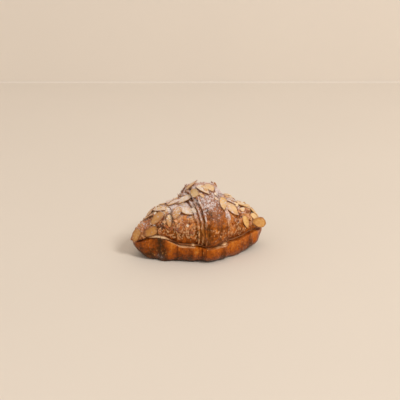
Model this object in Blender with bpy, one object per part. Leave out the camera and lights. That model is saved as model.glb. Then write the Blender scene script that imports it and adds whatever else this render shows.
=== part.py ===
"""An almond croissant: a straight butter croissant, sliced level, filled with almond
cream, closed again and topped with flaked almonds.

Frame: X runs along the croissant, -Y is its front, Z is up. The origin is on the
table, under the middle. All sizes are in metres.

The crust is worked out as a roll of dough. A lengthwise profile says where each wrap
of the roll ends and steps down to the next one, and a cross section is carried along
that profile. Three solids share it: the bottom half, the layer of almond cream that
shows at the cut, and the top half with the flaked almonds fused to it.
"""

import math
import random

import bmesh
import bpy
import numpy as np
from mathutils import Vector
from mathutils.bvhtree import BVHTree

# Driving dimensions
CORE_HEIGHT = 0.0505  # ridge of the innermost roll, under the wraps
CORE_HALF_WIDTH = 0.0335  # middle of the innermost roll
TIP_HALF_WIDTH = 0.0050
CUT_HEIGHT = 0.0190  # where the croissant was sliced
CUT_SAG = 0.0014  # the slice sags under the outermost wrap
CREAM_THICKNESS = 0.0018
CREAM_MARGIN = 0.0012  # how far it stops short of the bottom half's rim
CREAM_WANDER = 0.0008  # and how unevenly
CREAM_SHORTER = 0.0050  # how far it stops short of a tip
GAP = 0.0003  # between touching pieces
LEDGE = 0.0024  # how far the bottom half stands out under the top half
OVERHANG = 0.0021  # how far the outermost wrap of the top half comes out over it

BOTTOM_SHORTER = 0.0030  # how much sooner its tips end

# The two ends: middle to tip, what the ridge comes down to before the tip is rounded,
# the length over which the tip closes, how high its underside is off the table, how
# far from the middle the underside lies flat, and how much the slice climbs, between
# which distances from the middle, and drops again by the tip
LEFT = {
    "length": 0.0710, "height": 0.0185, "rounding": 0.0110, "lift": 0.0090, "flat": 0.0460,
    "climb": 0.0065, "climb_from": 0.026, "climb_to": 0.046, "drop": 0.0085,
}
RIGHT = {
    "length": 0.0719, "height": 0.0200, "rounding": 0.0110, "lift": 0.0140, "flat": 0.0330,
    "climb": 0.0028, "climb_from": 0.034, "climb_to": 0.050, "drop": 0.0030,
}

# Wraps of the roll, innermost first: where each ends on the left and on the right,
# how much it adds to the ridge and to the sides, and its laminations at each end
WRAPS = (
    {"ends": (-0.0470, 0.0530), "rise": (0.0035, 0.0035), "side": 0.0012, "leaves": (1, 1)},
    {"ends": (-0.0320, 0.0370), "rise": (0.0018, 0.0045), "side": 0.0014, "leaves": (1, 1)},
    {"ends": (-0.0095, 0.0215), "rise": (0.0125, 0.0105), "side": 0.0040, "leaves": (3, 2)},
)
LEAF_SPACING = 0.0032  # between the laminations that show at a wrap's end
WRAP_CROWN = 0.10  # how much a wrap swells between its ends, as a share of its rise
LEAN = 0.0030  # wraps run this much further right in front than behind
WANDER = 0.0013  # how far a wrap's end strays from its plain place
WANDER_SIZE = 0.016  # and over what length

# Cross section
TUCK_ANGLE = math.radians(24)  # the top half turns under by this angle
WIDEST_SHARE = 0.20  # height of its widest point, as a share of its height
FOOT_INSET = 0.0085  # the bottom half draws in by this much at the table
FOOT_SHARE = 0.62  # share of its height over which it draws in

# Unevenness of the baked crust
LUMPS = ((0.0190, 0.0011), (0.0085, 0.0005))  # (size of a lump, its height)
LUMP_SEED = 5

# Flaked almonds: station along the roll, turn round it (0 front, 90 ridge, 180 back),
# heading of the long axis (0 to the right, 90 round the roll towards the back), length,
# width, how far the pointed end is tipped up, how far its left edge is rolled up.
# Millimetres and degrees.
FLAKES = (
    # on the outermost wrap
    (-5.0, 97.0, 12.0, 15.0, 8.0, 0.0, -12.0),
    (10.5, 81.0, -84.0, 17.0, 9.0, 0.0, 0.0),
    (2.5, 77.0, -64.0, 19.0, 10.0, 0.0, -8.0),
    # left of it, from the ridge down and out to the tip
    (-6.5, 76.0, 166.0, 15.0, 9.0, 0.0, 8.0),
    (-15.0, 81.0, 175.0, 18.0, 10.0, 0.0, 0.0),
    (-26.0, 84.0, -177.0, 14.0, 8.0, 0.0, 0.0),
    (-16.0, 53.0, -43.0, 15.0, 9.0, 0.0, -6.0),
    (-26.0, 54.0, -121.0, 16.0, 9.0, 6.0, 0.0),
    (-41.0, 83.0, 144.0, 17.0, 9.0, 0.0, 10.0),
    (-46.0, 44.0, -161.0, 19.0, 9.5, 0.0, 0.0),
    (-51.0, 86.0, 170.0, 14.0, 7.0, 0.0, 10.0),
    (-34.5, 38.0, -94.0, 13.0, 6.0, 0.0, 0.0),
    (-53.0, -2.0, -160.0, 17.0, 9.5, 0.0, 10.0),
    (-66.0, 4.0, -104.0, 16.0, 10.5, 0.0, 0.0),
    # right of it, out to the tip
    (19.0, 52.0, -96.0, 16.0, 8.0, 0.0, 25.0),
    (33.0, 77.0, -34.0, 15.0, 8.0, 0.0, -6.0),
    (30.5, 66.0, -39.0, 13.0, 7.0, 0.0, -20.0),
    (30.5, 51.0, -47.0, 19.0, 9.5, 0.0, 0.0),
    (45.0, 79.0, -18.0, 18.0, 9.0, 0.0, -10.0),
    (45.5, 16.0, -70.0, 14.0, 8.0, 0.0, 0.0),
    (56.0, 68.0, -20.0, 16.0, 8.0, 0.0, 0.0),
    (57.0, 27.0, -35.0, 13.0, 8.0, 0.0, 0.0),
    (60.5, 9.0, 174.0, 18.0, 11.0, -20.0, 0.0),
)
SCATTERED_FLAKES = 9  # more of them, behind the ridge
SCATTER_SPACING = 0.013
SCATTER_SEED = 4
FLAKE_THICKNESS = 0.0011
FLAKE_SIDES = 10
FLAKE_SINK = 0.0005  # how deep a flake is set into the highest crust under it
FLAKE_BEND = 0.0006  # how far its ends bend down

# Mesh density
STATIONS_PER_SPAN = 5
TIP_STATIONS = 6
STEPS_PER_EDGE = 3
SECTION_POINTS = 23
SIDE_POINTS = 6
CUT_POINTS = 3


def lattice_value(cells, seed):
    """A fixed pseudo-random number from -1 to 1 for each whole-numbered cell."""
    mixed = cells[..., 0] * 73856093 ^ cells[..., 1] * 19349663 ^ cells[..., 2] * 83492791
    mixed = (mixed ^ seed * 2654435761) & 0xFFFFFFFF
    mixed = (mixed ^ (mixed >> 15)) * 2246822519 & 0xFFFFFFFF
    mixed = (mixed ^ (mixed >> 13)) * 3266489917 & 0xFFFFFFFF
    mixed = mixed ^ (mixed >> 16)
    return mixed / 0x7FFFFFFF - 1.0


def lumps(points, size, seed):
    """Smooth value noise from -1 to 1: the lattice numbers blended over each cell."""
    scaled = points / size
    cell = np.floor(scaled).astype(np.int64)
    share = scaled - cell
    share = share * share * (3.0 - 2.0 * share)
    total = np.zeros(points.shape[:-1])
    for corner in range(8):
        offset = np.array([corner & 1, corner >> 1 & 1, corner >> 2 & 1])
        weight = np.prod(np.where(offset, share, 1.0 - share), axis=-1)
        total += weight * lattice_value(cell + offset, seed)
    return total


def smooth_step(value, start, end):
    """0 before start, 1 past end, and an S curve between them."""
    share = np.clip((value - start) / (end - start), 0.0, 1.0)
    return share * share * (3.0 - 2.0 * share)


def edge_profile(steps):
    """One lamination's end as (run, plain run, share of the rise) from its top to its
    crease: a quarter circle that goes on to turn under, then a straight way in to the
    crease. The plain run goes from one to the other without turning under."""
    angles = np.radians(np.linspace(0.0, 115.0, steps + 1))
    run = np.append(np.sin(angles) - 1.0, -0.45)
    height = np.append((1.0 + np.cos(angles)) / 2.0, 0.0)
    return run, np.linspace(run[0], run[-1], len(run)), height


def by_end(x, name):
    """LEFT's value for stations left of the middle and RIGHT's for the others."""
    return np.where(x < 0.0, LEFT[name], RIGHT[name])


def long_profile(per_span, per_edge, per_tip):
    """Stations along the roll, left to right, as (x of each station, its plain x, share
    of each wrap that is there). A wrap's share is 0 past its ends, 1 inside them, and
    follows edge_profile in between, once for each lamination that shows. The plain x
    always grows, where x turns back under a lamination's end."""
    run, plain_run, height = edge_profile(per_edge)
    edges = []
    for number, wrap in enumerate(WRAPS):
        for side, end, leaves in zip((-1, 1), wrap["ends"], wrap["leaves"]):
            edges.append((end, side, number, leaves))
    edges.sort()
    places = [(-LEFT["length"], -LEFT["length"])]
    shares = [np.zeros(len(WRAPS))]
    level = np.zeros(len(WRAPS))

    def add(x, plain_x=None):
        places.append((x, x if plain_x is None else plain_x))
        shares.append(level.copy())

    # the left tip closes along a quarter circle
    for angle in np.linspace(0.0, math.pi / 2, per_tip + 1)[1:-1]:
        add(-LEFT["length"] + LEFT["rounding"] * (1.0 - math.cos(angle)))
    start = -LEFT["length"] + LEFT["rounding"]
    for end, side, number, leaves in edges:
        rounding = 0.42 * max(max(WRAPS[number]["rise"]), 0.004) / leaves
        first = end - side * (leaves - 1) * LEAF_SPACING / 2.0
        reach = LEAF_SPACING * (leaves - 1) + rounding
        stop = end - reach / 2.0 - rounding / 2.0
        for x in np.linspace(start, stop, per_span + 1)[:-1]:
            add(x)
        for leaf in range(leaves) if side > 0 else reversed(range(leaves)):
            edge = first + side * leaf * LEAF_SPACING
            above = (leaves - leaf) / leaves
            below = (leaves - leaf - 1) / leaves
            order = slice(None) if side > 0 else slice(None, None, -1)
            for one_run, plain, one_height in zip(run[order], plain_run[order], height[order]):
                level[number] = below + (above - below) * one_height
                add(edge + side * one_run * rounding, edge + side * plain * rounding)
        level[number] = 0.0 if side > 0 else 1.0
        start = end + reach / 2.0 + rounding / 2.0
    stop = RIGHT["length"] - RIGHT["rounding"]
    for x in np.linspace(start, stop, per_span + 1):
        add(x)
    for angle in np.linspace(math.pi / 2, 0.0, per_tip + 1)[1:]:
        add(RIGHT["length"] - RIGHT["rounding"] * (1.0 - math.cos(angle)))
    return *np.array(places).T, np.array(shares)


def taper(x, power, fullness):
    """1 at the middle and 0 at the tips, along a rounded arch."""
    share = np.clip(np.abs(x) / (by_end(x, "length") + 0.002), 0.0, 1.0)
    return (1.0 - share**power) ** fullness


def tip_closing(x, shorter):
    """1 along the roll and down to 0 at a tip, as a quarter circle."""
    beyond = np.abs(x) - by_end(x, "length") + by_end(x, "rounding") + shorter
    past = np.clip(beyond / by_end(x, "rounding"), 0.0, 1.0)
    return np.sqrt(1.0 - past * past)


def along(x):
    """How far each station is along each wrap: 0 at its left end, 1 at its right."""
    ends = np.array([wrap["ends"] for wrap in WRAPS])
    return np.clip((x[:, None] - ends[:, 0]) / np.ptp(ends, axis=1), 0.0, 1.0)


def crowned(shares, x):
    """The wraps' shares, swollen a little between the two ends of each."""
    across = np.abs(2.0 * along(x) - 1.0)
    return shares * (1.0 - WRAP_CROWN + WRAP_CROWN * (1.0 - across**2) * 2.0)


def cut_height(x):
    """Height of the slice: level, sagging under the outermost wrap, climbing towards
    the tips and dropping again at them."""
    from_middle = np.abs(x)
    climb = smooth_step(from_middle, by_end(x, "climb_from"), by_end(x, "climb_to"))
    drop = smooth_step(from_middle, by_end(x, "climb_to") + 0.002, by_end(x, "length"))
    sag = smooth_step(x, -0.012, -0.004) * (1.0 - smooth_step(x, 0.016, 0.023))
    swing = by_end(x, "climb") * climb - by_end(x, "drop") * drop
    return CUT_HEIGHT + swing - CUT_SAG * sag


def ridge_height(x, shares):
    """Height of the top line: the core's arch with the wraps' rises on it."""
    rises = np.array([wrap["rise"] for wrap in WRAPS])
    rise = rises[:, 0] + along(x) * (rises[:, 1] - rises[:, 0])
    tip = by_end(x, "height")
    core = tip + (CORE_HEIGHT - tip) * taper(x, 2.4, 0.75)
    return np.maximum(core + (shares * rise).sum(axis=1), cut_height(x) + 0.004)


def half_width(x, shares):
    """Half of the roll's width: a rounded diamond with the wraps' sides on it."""
    sides = np.array([wrap["side"] for wrap in WRAPS])
    core = TIP_HALF_WIDTH + (CORE_HALF_WIDTH - TIP_HALF_WIDTH) * taper(x, 1.3, 1.0)
    return core + shares @ sides


def leaned(x, forward):
    """Where a station lies at each place round the roll, from 1 in front to -1 behind:
    further right in front, further left behind."""
    lean = LEAN * (1.0 - (x / by_end(x, "length")) ** 2)
    return x[:, None] + lean[:, None] * forward[None, :]


def roughened(points, middle, seed):
    """Moves points along their way out from the section's middle by the crust's lumps."""
    out = points - middle
    out[..., 0] = 0.0
    reach = np.linalg.norm(out, axis=-1, keepdims=True)
    fade = np.clip(reach / 0.012, 0.0, 1.0)
    out = out / np.maximum(reach, 1e-6)
    height = sum(tall * lumps(points, size, seed) for size, tall in LUMPS)
    return points + out * height[..., None] * fade


def top_surface(x, plain_x, shares, angles):
    """The top half's crust as a grid of points, stations by angles.

    An angle of 0 is the front, a quarter turn the ridge, a half turn the back. Past
    the front and the back the section turns under, down to the cut, and the ends of
    the laminations, which stray along the roll, come back to their plain places there."""
    turned_under = x - plain_x
    x = plain_x
    shares = crowned(shares, x)
    closing = tip_closing(x, 0.0)
    floor = cut_height(x) + CREAM_THICKNESS / 2.0 + GAP
    ridge = ridge_height(x, shares)
    widest = floor + WIDEST_SHARE * (ridge - floor)
    sine, cosine = np.sin(angles), np.cos(angles)
    upper = (ridge - widest)[:, None] * sine[None, :]
    lower = (widest - floor)[:, None] * sine[None, :] / math.sin(TUCK_ANGLE)
    rise = np.where(sine[None, :] > 0.0, upper, lower) + (widest - floor)[:, None]
    points = np.empty((len(x), len(angles), 3))
    overhang = smooth_step(sine, -0.15, 0.30)
    points[..., 0] = leaned(x, cosine)
    half = (half_width(x, shares) + OVERHANG * shares[:, -1]) * closing
    points[..., 1] = -half[:, None] * cosine[None, :]
    points[..., 2] = floor[:, None] + rise * closing[:, None]
    wander = WANDER * lumps(points, WANDER_SIZE, LUMP_SEED) * closing[:, None]
    points[..., 0] += (turned_under[:, None] + wander) * overhang
    middle = np.stack([x, 0.0 * x, widest], axis=-1)[:, None, :]
    rough = roughened(points, middle, LUMP_SEED)
    rough[:, [0, -1], 2] = points[:, [0, -1], 2]
    return rough


def foot_height(x):
    """Height of the underside: flat in the middle, lifted at the tips."""
    start, end = by_end(x, "flat"), by_end(x, "length") + 0.006
    share = np.clip((np.abs(x) - start) / (end - start), 0.0, 1.0)
    return by_end(x, "lift") * share**1.5


def bottom_surface(x, shares, heights, side):
    """One side of the bottom half's crust (-1 front, 1 back), stations by heights, from
    the table (0) to the rim (1): drawn in at the table as a quarter circle and upright
    at the rim."""
    shares = crowned(shares, x)
    closing = tip_closing(x, BOTTOM_SHORTER)
    rim = cut_height(x) - CREAM_THICKNESS / 2.0 - GAP
    foot = foot_height(x)
    drawn = np.clip(1.0 - heights / FOOT_SHARE, 0.0, 1.0)
    inset = FOOT_INSET * (1.0 - np.sqrt(1.0 - drawn**2))
    bulge = 0.0008 * np.sin(math.pi * heights)
    ledge = LEDGE * smooth_step(0.070 - np.abs(x), 0.0, 0.02) * (1.0 - 0.8 * shares[:, -1])
    half = half_width(x, shares) + ledge
    inward = inset[None, :] * (half / half.max())[:, None]
    body = (rim - foot) * np.maximum(closing, 0.02)
    points = np.empty((len(x), len(heights), 3))
    points[..., 0] = leaned(x, -side * np.ones(len(heights)))
    points[..., 1] = side * (half[:, None] + bulge[None, :] - inward) * closing[:, None]
    points[..., 2] = rim[:, None] - body[:, None] * (1.0 - heights[None, :])
    height = sum(tall * lumps(points, size, LUMP_SEED) for size, tall in LUMPS)
    points[..., 1] += side * height * closing[:, None]
    return points


def cream_half_width(x, shares, side):
    """How far the almond cream reaches to one side: it stops short of the bottom half's
    rim by an uneven margin."""
    rim = bottom_surface(x, shares, np.ones(1), side)[:, 0]
    margin = CREAM_MARGIN + CREAM_WANDER * lumps(rim, 0.011, LUMP_SEED)
    return np.maximum(np.abs(rim[:, 1]) - margin, 0.0008)


def stations(shorter):
    """The stations between the tips, or between tips that end sooner by a length. The
    last ones, where a tip would shrink to a point, are left out: the solids end in a
    small flat cap there."""
    x, plain_x, shares = long_profile(STATIONS_PER_SPAN, STEPS_PER_EDGE, TIP_STATIONS)
    kept = (x > shorter + 0.0001 - LEFT["length"]) & (x < RIGHT["length"] - shorter - 0.0001)
    return x[kept], plain_x[kept], shares[kept]


def between(first, last, count):
    """Rows of points evenly spread from first to last, without those two."""
    share = np.linspace(0.0, 1.0, count + 2)[1:-1, None, None]
    return (first + share * (last - first)).transpose(1, 0, 2)


def closed_loft(rings):
    """Points and faces from rings of points, each a closed loop, capped at both ends."""
    count, around, _ = rings.shape
    ring = np.arange(count - 1)[:, None] * around
    at = np.arange(around)[None, :]
    after = (at + 1) % around
    quads = np.stack([ring + at, ring + around + at, ring + around + after, ring + after], -1)
    faces = quads.reshape(-1, 4).tolist()
    faces.append(list(range(around)))
    faces.append(list(range(count * around - 1, (count - 1) * around - 1, -1)))
    return rings.reshape(-1, 3).tolist(), faces


def mesh_object(name, points, faces, material):
    """An object of triangles, so that no face is bent when solids are joined."""
    mesh = bpy.data.meshes.new(name)
    mesh.from_pydata(points, [], faces)
    work = bmesh.new()
    work.from_mesh(mesh)
    bmesh.ops.triangulate(work, faces=work.faces[:], quad_method="SHORT_EDGE")
    work.to_mesh(mesh)
    work.free()
    mesh.shade_smooth()
    mesh.set_sharp_from_angle(angle=math.radians(40.0))
    mesh.materials.append(material)
    made = bpy.data.objects.new(name, mesh)
    bpy.context.scene.collection.objects.link(made)
    return made


def food_material(name, colour, roughness):
    material = bpy.data.materials.new(name)
    material.use_nodes = True
    shader = material.node_tree.nodes["Principled BSDF"]
    shader.inputs["Base Color"].default_value = (*colour, 1.0)
    shader.inputs["Roughness"].default_value = roughness
    shader.inputs["Metallic"].default_value = 0.0
    return material


def top_half():
    angles = np.linspace(-TUCK_ANGLE, math.pi + TUCK_ANGLE, SECTION_POINTS)
    crust = top_surface(*stations(0.0), angles)
    floor = between(crust[:, -1], crust[:, 0], CUT_POINTS)
    return closed_loft(np.concatenate([crust, floor], axis=1))


def bottom_half():
    _, x, shares = stations(BOTTOM_SHORTER)
    heights = np.linspace(0.0, 1.0, SIDE_POINTS)
    front = bottom_surface(x, shares, heights, -1.0)
    back = bottom_surface(x, shares, heights, 1.0)[:, ::-1]
    cut = between(front[:, -1], back[:, 0], CUT_POINTS)
    foot = between(back[:, -1], front[:, 0], CUT_POINTS)
    return closed_loft(np.concatenate([front, cut, back, foot], axis=1))


def almond_cream():
    """The cream lies on the slice from end to end: a thin slab with a rounded rim."""
    _, x, shares = stations(CREAM_SHORTER)
    middle = cut_height(x)
    sides = []
    for side in (-1.0, 1.0):
        half = cream_half_width(x, shares, side)
        place = leaned(x, np.array([-side]))[:, 0]
        edge = []
        for inset, up in ((0.0005, -0.5), (0.0, 0.0), (0.0005, 0.5)):
            height = middle + up * CREAM_THICKNESS
            edge.append(np.stack([place, side * (half - inset), height], axis=-1))
        sides.append(np.stack(edge, axis=1))
    front, back = sides[0], sides[1][:, ::-1]
    over = between(front[:, -1], back[:, 0], CUT_POINTS)
    under = between(back[:, -1], front[:, 0], CUT_POINTS)
    return closed_loft(np.concatenate([front, over, back, under], axis=1))


def almond_outline(length, width, sides):
    """A flaked almond's outline in its own plane, round at -X and pointed at +X."""
    angle = np.linspace(0.0, 2.0 * math.pi, sides, endpoint=False)
    x = np.cos(angle) * length / 2.0
    y = np.sin(angle) * np.abs(np.sin(angle / 2.0)) ** 0.55 * width * 0.58
    return x, y


def flake_mesh(length, width):
    """A flaked almond: its outline twice, a thickness apart, its ends bent down."""
    x, y = almond_outline(length, width, FLAKE_SIDES)
    bend = -FLAKE_BEND * (2.0 * x / length) ** 2
    rows = [np.stack([x, y, bend + side * FLAKE_THICKNESS / 2.0], -1) for side in (-1, 1)]
    under = list(range(FLAKE_SIDES - 1, -1, -1))
    over = list(range(FLAKE_SIDES, 2 * FLAKE_SIDES))
    rim = [
        [at, (at + 1) % FLAKE_SIDES, FLAKE_SIDES + (at + 1) % FLAKE_SIDES, FLAKE_SIDES + at]
        for at in range(FLAKE_SIDES)
    ]
    return np.concatenate(rows), [under, over] + rim


def crust_below(tree, hit, normal, along, across, length, width):
    """Heights of the crust over a plane, under a grid of points within a flake."""
    found = []
    for a in np.linspace(-0.42, 0.42, 7) * length:
        for b in np.linspace(-0.32, 0.32, 5) * width:
            if math.hypot(a / length, b / width) > 0.43:
                continue
            start = hit + along * a + across * b
            below = tree.ray_cast(start + normal * 0.015, -normal, 0.030)[0]
            if below is not None:
                found.append((a, b, (below - start).dot(normal)))
    return np.array(found)


def seated(tree, x, turn, heading, length, width, tip_up, edge_up):
    """Where a flake lies: its middle and its axes (along, across and out of it).

    It takes the plane that best fits the crust under it, is tipped by its own angles,
    and comes down until it is set FLAKE_SINK deep into the highest crust."""
    outward = Vector((0.0, -math.cos(turn), math.sin(turn)))
    around = Vector((0.0, math.sin(turn), math.cos(turn)))
    middle = Vector((x, 0.0, float(cut_height(np.array([x]))[0]) + 0.006))
    hit, normal, _, _ = tree.ray_cast(middle + outward * 0.1, -outward)
    along = Vector((1.0, 0.0, 0.0)) * math.cos(heading) + around * math.sin(heading)
    along = (along - normal * along.dot(normal)).normalized()
    for _ in range(2):
        across = normal.cross(along)
        found = crust_below(tree, hit, normal, along, across, length, width)
        terms = np.column_stack([found[:, 0], found[:, 1], np.ones(len(found))])
        rise, roll, _ = np.linalg.lstsq(terms, found[:, 2], rcond=None)[0]
        normal = (normal - along * float(rise) - across * float(roll)).normalized()
        along = (along - normal * along.dot(normal)).normalized()
    across = normal.cross(along)
    along, normal = (
        along * math.cos(tip_up) + normal * math.sin(tip_up),
        normal * math.cos(tip_up) - along * math.sin(tip_up),
    )
    across, normal = (
        across * math.cos(edge_up) + normal * math.sin(edge_up),
        normal * math.cos(edge_up) - across * math.sin(edge_up),
    )
    found = crust_below(tree, hit, normal, along, across, length, width)
    out = float(found[:, 2].max()) - FLAKE_SINK + FLAKE_THICKNESS / 2.0
    return hit + normal * out, along, across, normal


def scattered_flakes():
    """Flakes strewn behind the ridge, no two of them closer than SCATTER_SPACING."""
    draw = random.Random(SCATTER_SEED)
    strewn = []
    while len(strewn) < SCATTERED_FLAKES:
        x, turn = draw.uniform(-54.0, 58.0), draw.uniform(104.0, 168.0)
        others = [(x - one[0], (turn - one[1]) * 0.6) for one in strewn]
        if all(math.hypot(*apart) > 1000.0 * SCATTER_SPACING for apart in others):
            length = draw.uniform(14.0, 19.0)
            heading = draw.uniform(-180.0, 180.0)
            tip_up, edge_up = draw.uniform(-5.0, 5.0), draw.uniform(-8.0, 8.0)
            strewn.append((x, turn, heading, length, length * 0.53, tip_up, edge_up))
    return tuple(strewn)


def flaked_almonds(points, faces):
    """Every flake's points and faces. Each lies on the crust and on those before it."""
    made = []
    for x, turn, heading, length, width, tip_up, edge_up in FLAKES + scattered_flakes():
        tree = BVHTree.FromPolygons(points, faces)
        place, along, across, normal = seated(
            tree, x / 1000.0, math.radians(turn), math.radians(heading), length / 1000.0,
            width / 1000.0, math.radians(tip_up), math.radians(edge_up),
        )
        flat, flake_faces = flake_mesh(length / 1000.0, width / 1000.0)
        flake = flat @ np.array([along, across, normal]) + np.array(place)
        first = len(points)
        points = points + flake.tolist()
        faces = faces + [[first + corner for corner in face] for face in flake_faces]
        made.append((flake.tolist(), flake_faces))
    return made


def keep_largest_shell(mesh):
    """Removes every other shell: the hollows that the union sealed, and its scraps."""
    work = bmesh.new()
    work.from_mesh(mesh)
    bmesh.ops.triangulate(work, faces=work.faces[:])
    left = set(work.faces)
    shells = []
    while left:
        shell, front = set(), [left.pop()]
        while front:
            face = front.pop()
            shell.add(face)
            for edge in face.edges:
                for other in edge.link_faces:
                    if other in left:
                        left.remove(other)
                        front.append(other)
        shells.append(shell)
    shells.sort(key=len)
    for shell in shells[:-1]:
        bmesh.ops.delete(work, geom=list(shell), context="FACES")
    work.to_mesh(mesh)
    work.free()


def fuse(body, pieces, material):
    """Joins the pieces to the body with one union, and removes them."""
    group = bpy.data.collections.new("fused")
    bpy.context.scene.collection.children.link(group)
    for number, (points, faces) in enumerate(pieces):
        piece = mesh_object(f"flake_{number}", points, faces, material)
        bpy.context.scene.collection.objects.unlink(piece)
        group.objects.link(piece)
    union = body.modifiers.new("fuse", "BOOLEAN")
    union.operation = "UNION"
    union.operand_type = "COLLECTION"
    union.collection = group
    union.solver = "EXACT"
    with bpy.context.temp_override(object=body, active_object=body):
        bpy.ops.object.modifier_apply(modifier=union.name)
    for piece in list(group.objects):
        bpy.data.objects.remove(piece)
    bpy.data.collections.remove(group)
    keep_largest_shell(body.data)


def main():
    for old in list(bpy.data.objects):
        bpy.data.objects.remove(old)
    crust = food_material("baked_crust", (0.371, 0.133, 0.042), 0.50)
    under_crust = food_material("dark_crust", (0.235, 0.050, 0.008), 0.40)
    cream = food_material("almond_cream", (0.78, 0.50, 0.26), 0.60)
    almond = food_material("flaked_almond", (0.68, 0.40, 0.19), 0.55)

    points, faces = top_half()
    top = mesh_object("top_half", points, faces, crust)
    fuse(top, flaked_almonds(points, faces), almond)
    mesh_object("bottom_half", *bottom_half(), under_crust)
    mesh_object("almond_cream", *almond_cream(), cream)


if __name__ == "__main__":
    main()
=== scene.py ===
"""The looks of an almond croissant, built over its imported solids.

The crust's surfaces are the solids' own formulas on a finer grid, with the relief that
baking gives them. The flaked almonds, the peeling crust, the crumbs and the icing sugar
lie on those surfaces. Lengths are metres, in the solids' frame: X runs along the
croissant, -Y is its front and Z is up. Colours are linear.
"""

import functools
import math
import random

import bpy
import numpy as np
from bpy.props import FloatProperty, FloatVectorProperty, IntProperty, PointerProperty
from bpy.types import Operator, Panel, PropertyGroup
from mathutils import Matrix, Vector
from mathutils.bvhtree import BVHTree


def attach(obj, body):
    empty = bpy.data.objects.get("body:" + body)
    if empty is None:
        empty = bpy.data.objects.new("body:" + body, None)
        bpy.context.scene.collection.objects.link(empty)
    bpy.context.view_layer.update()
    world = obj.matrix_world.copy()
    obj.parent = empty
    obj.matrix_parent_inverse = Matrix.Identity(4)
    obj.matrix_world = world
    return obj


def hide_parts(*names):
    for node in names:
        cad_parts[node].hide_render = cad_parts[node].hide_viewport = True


bl_info = {
    "name": "Almond Croissant",
    "version": (1, 0, 0),
    "blender": (4, 5, 0),
    "location": "3D View > Sidebar > Croissant",
    "description": "Dresses an almond croissant's solids with crust, almonds and sugar",
    "category": "Object",
}

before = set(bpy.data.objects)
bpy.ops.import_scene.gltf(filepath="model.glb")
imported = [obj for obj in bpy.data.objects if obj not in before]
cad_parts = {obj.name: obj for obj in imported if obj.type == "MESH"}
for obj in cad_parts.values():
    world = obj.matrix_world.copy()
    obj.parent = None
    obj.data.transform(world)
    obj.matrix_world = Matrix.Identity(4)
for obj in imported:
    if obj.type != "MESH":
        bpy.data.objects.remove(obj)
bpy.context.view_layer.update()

# The roll of dough, as the solids have it
CORE_HEIGHT = 0.0505
CORE_HALF_WIDTH = 0.0335
TIP_HALF_WIDTH = 0.0050
CUT_HEIGHT = 0.0190
CUT_SAG = 0.0014
CREAM_THICKNESS = 0.0018
CREAM_MARGIN = 0.0012
CREAM_SHORTER = 0.0050
GAP = 0.0003
LEDGE = 0.0024
OVERHANG = 0.0021
BOTTOM_SHORTER = 0.0030
LEFT = {
    "length": 0.0710, "height": 0.0185, "rounding": 0.0110, "lift": 0.0090, "flat": 0.0460,
    "climb": 0.0065, "climb_from": 0.026, "climb_to": 0.046, "drop": 0.0085,
}
RIGHT = {
    "length": 0.0719, "height": 0.0200, "rounding": 0.0110, "lift": 0.0140, "flat": 0.0330,
    "climb": 0.0028, "climb_from": 0.034, "climb_to": 0.050, "drop": 0.0030,
}
WRAPS = (
    {"ends": (-0.0470, 0.0530), "rise": (0.0035, 0.0035), "side": 0.0012, "leaves": (1, 1)},
    {"ends": (-0.0320, 0.0370), "rise": (0.0018, 0.0045), "side": 0.0014, "leaves": (1, 1)},
    {"ends": (-0.0095, 0.0215), "rise": (0.0125, 0.0105), "side": 0.0040, "leaves": (3, 2)},
)
RIDGE_TAPER = (2.4, 0.75)  # the powers of the arch, lengthwise and upwards
SIDE_TAPER = (1.3, 1.0)
TAPER_PAST = 0.002  # how far past the tips the arches end
DROP_AFTER = 0.002  # how far past the climb the slice starts to drop
LEAST_TOP = 0.004  # the least height of the top line over the slice
FOOT_PAST = 0.006  # how far past the tips the foot would go on lifting
FOOT_POWER = 1.5
LEDGE_FADE = (0.070, 0.050)  # the stations between which the ledge grows
LEDGE_UNDER_WRAP = 0.8  # the share of the ledge that the outermost wrap hides
LEAF_SPACING = 0.0032
WRAP_CROWN = 0.10
LEAN = 0.0030
WANDER = 0.0013
WANDER_SIZE = 0.016
TUCK_ANGLE = math.radians(24)
WIDEST_SHARE = 0.20
STRAY_FROM = (-0.15, 0.30)  # the sines of the turn between which the ends start to stray
FOOT_INSET = 0.0085
FOOT_SHARE = 0.62
LUMPS = ((0.0190, 0.0011), (0.0085, 0.0005))  # their sizes and heights
LUMP_SEED = 5

# Flaked almonds: station, turn, heading, length, width, tip up, edge up (millimetres
# and degrees, as the solids have them), and how toasted each is, from 0 to 1
FLAKES = (
    (-5, 97, 12, 15, 8, 0, -12, 0.35), (10.5, 81, -84, 17, 9, 0, 0, 0.24),
    (2.5, 77, -64, 19, 10, 0, -8, 0.10), (-6.5, 76, 166, 15, 9, 0, 8, 0.14),
    (-15, 81, 175, 18, 10, 0, 0, 0.15), (-26, 84, -177, 14, 8, 0, 0, 0.20),
    (-16, 53, -43, 15, 9, 0, -6, 0.30), (-26, 54, -121, 16, 9, 6, 0, 0.55),
    (-41, 83, 144, 17, 9, 0, 10, 0.30), (-46, 44, -161, 19, 9.5, 0, 0, 0.60),
    (-51, 86, 170, 14, 7, 0, 10, 0.40), (-34.5, 38, -94, 13, 6, 0, 0, 0.58),
    (-53, -2, -160, 17, 9.5, 0, 10, 0.72), (-66, 4, -104, 16, 10.5, 0, 0, 0.62),
    (19, 52, -96, 16, 8, 0, 25, 0.30), (33, 77, -34, 15, 8, 0, -6, 0.72),
    (30.5, 66, -39, 13, 7, 0, -20, 0.70), (30.5, 51, -47, 19, 9.5, 0, 0, 0.34),
    (45, 79, -18, 18, 9, 0, -10, 0.20), (45.5, 16, -70, 14, 8, 0, 0, 0.40),
    (56, 68, -20, 16, 8, 0, 0, 0.28), (57, 27, -35, 13, 8, 0, 0, 0.20),
    (60.5, 9, 174, 18, 11, -20, 0, 0.58),
)

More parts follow.
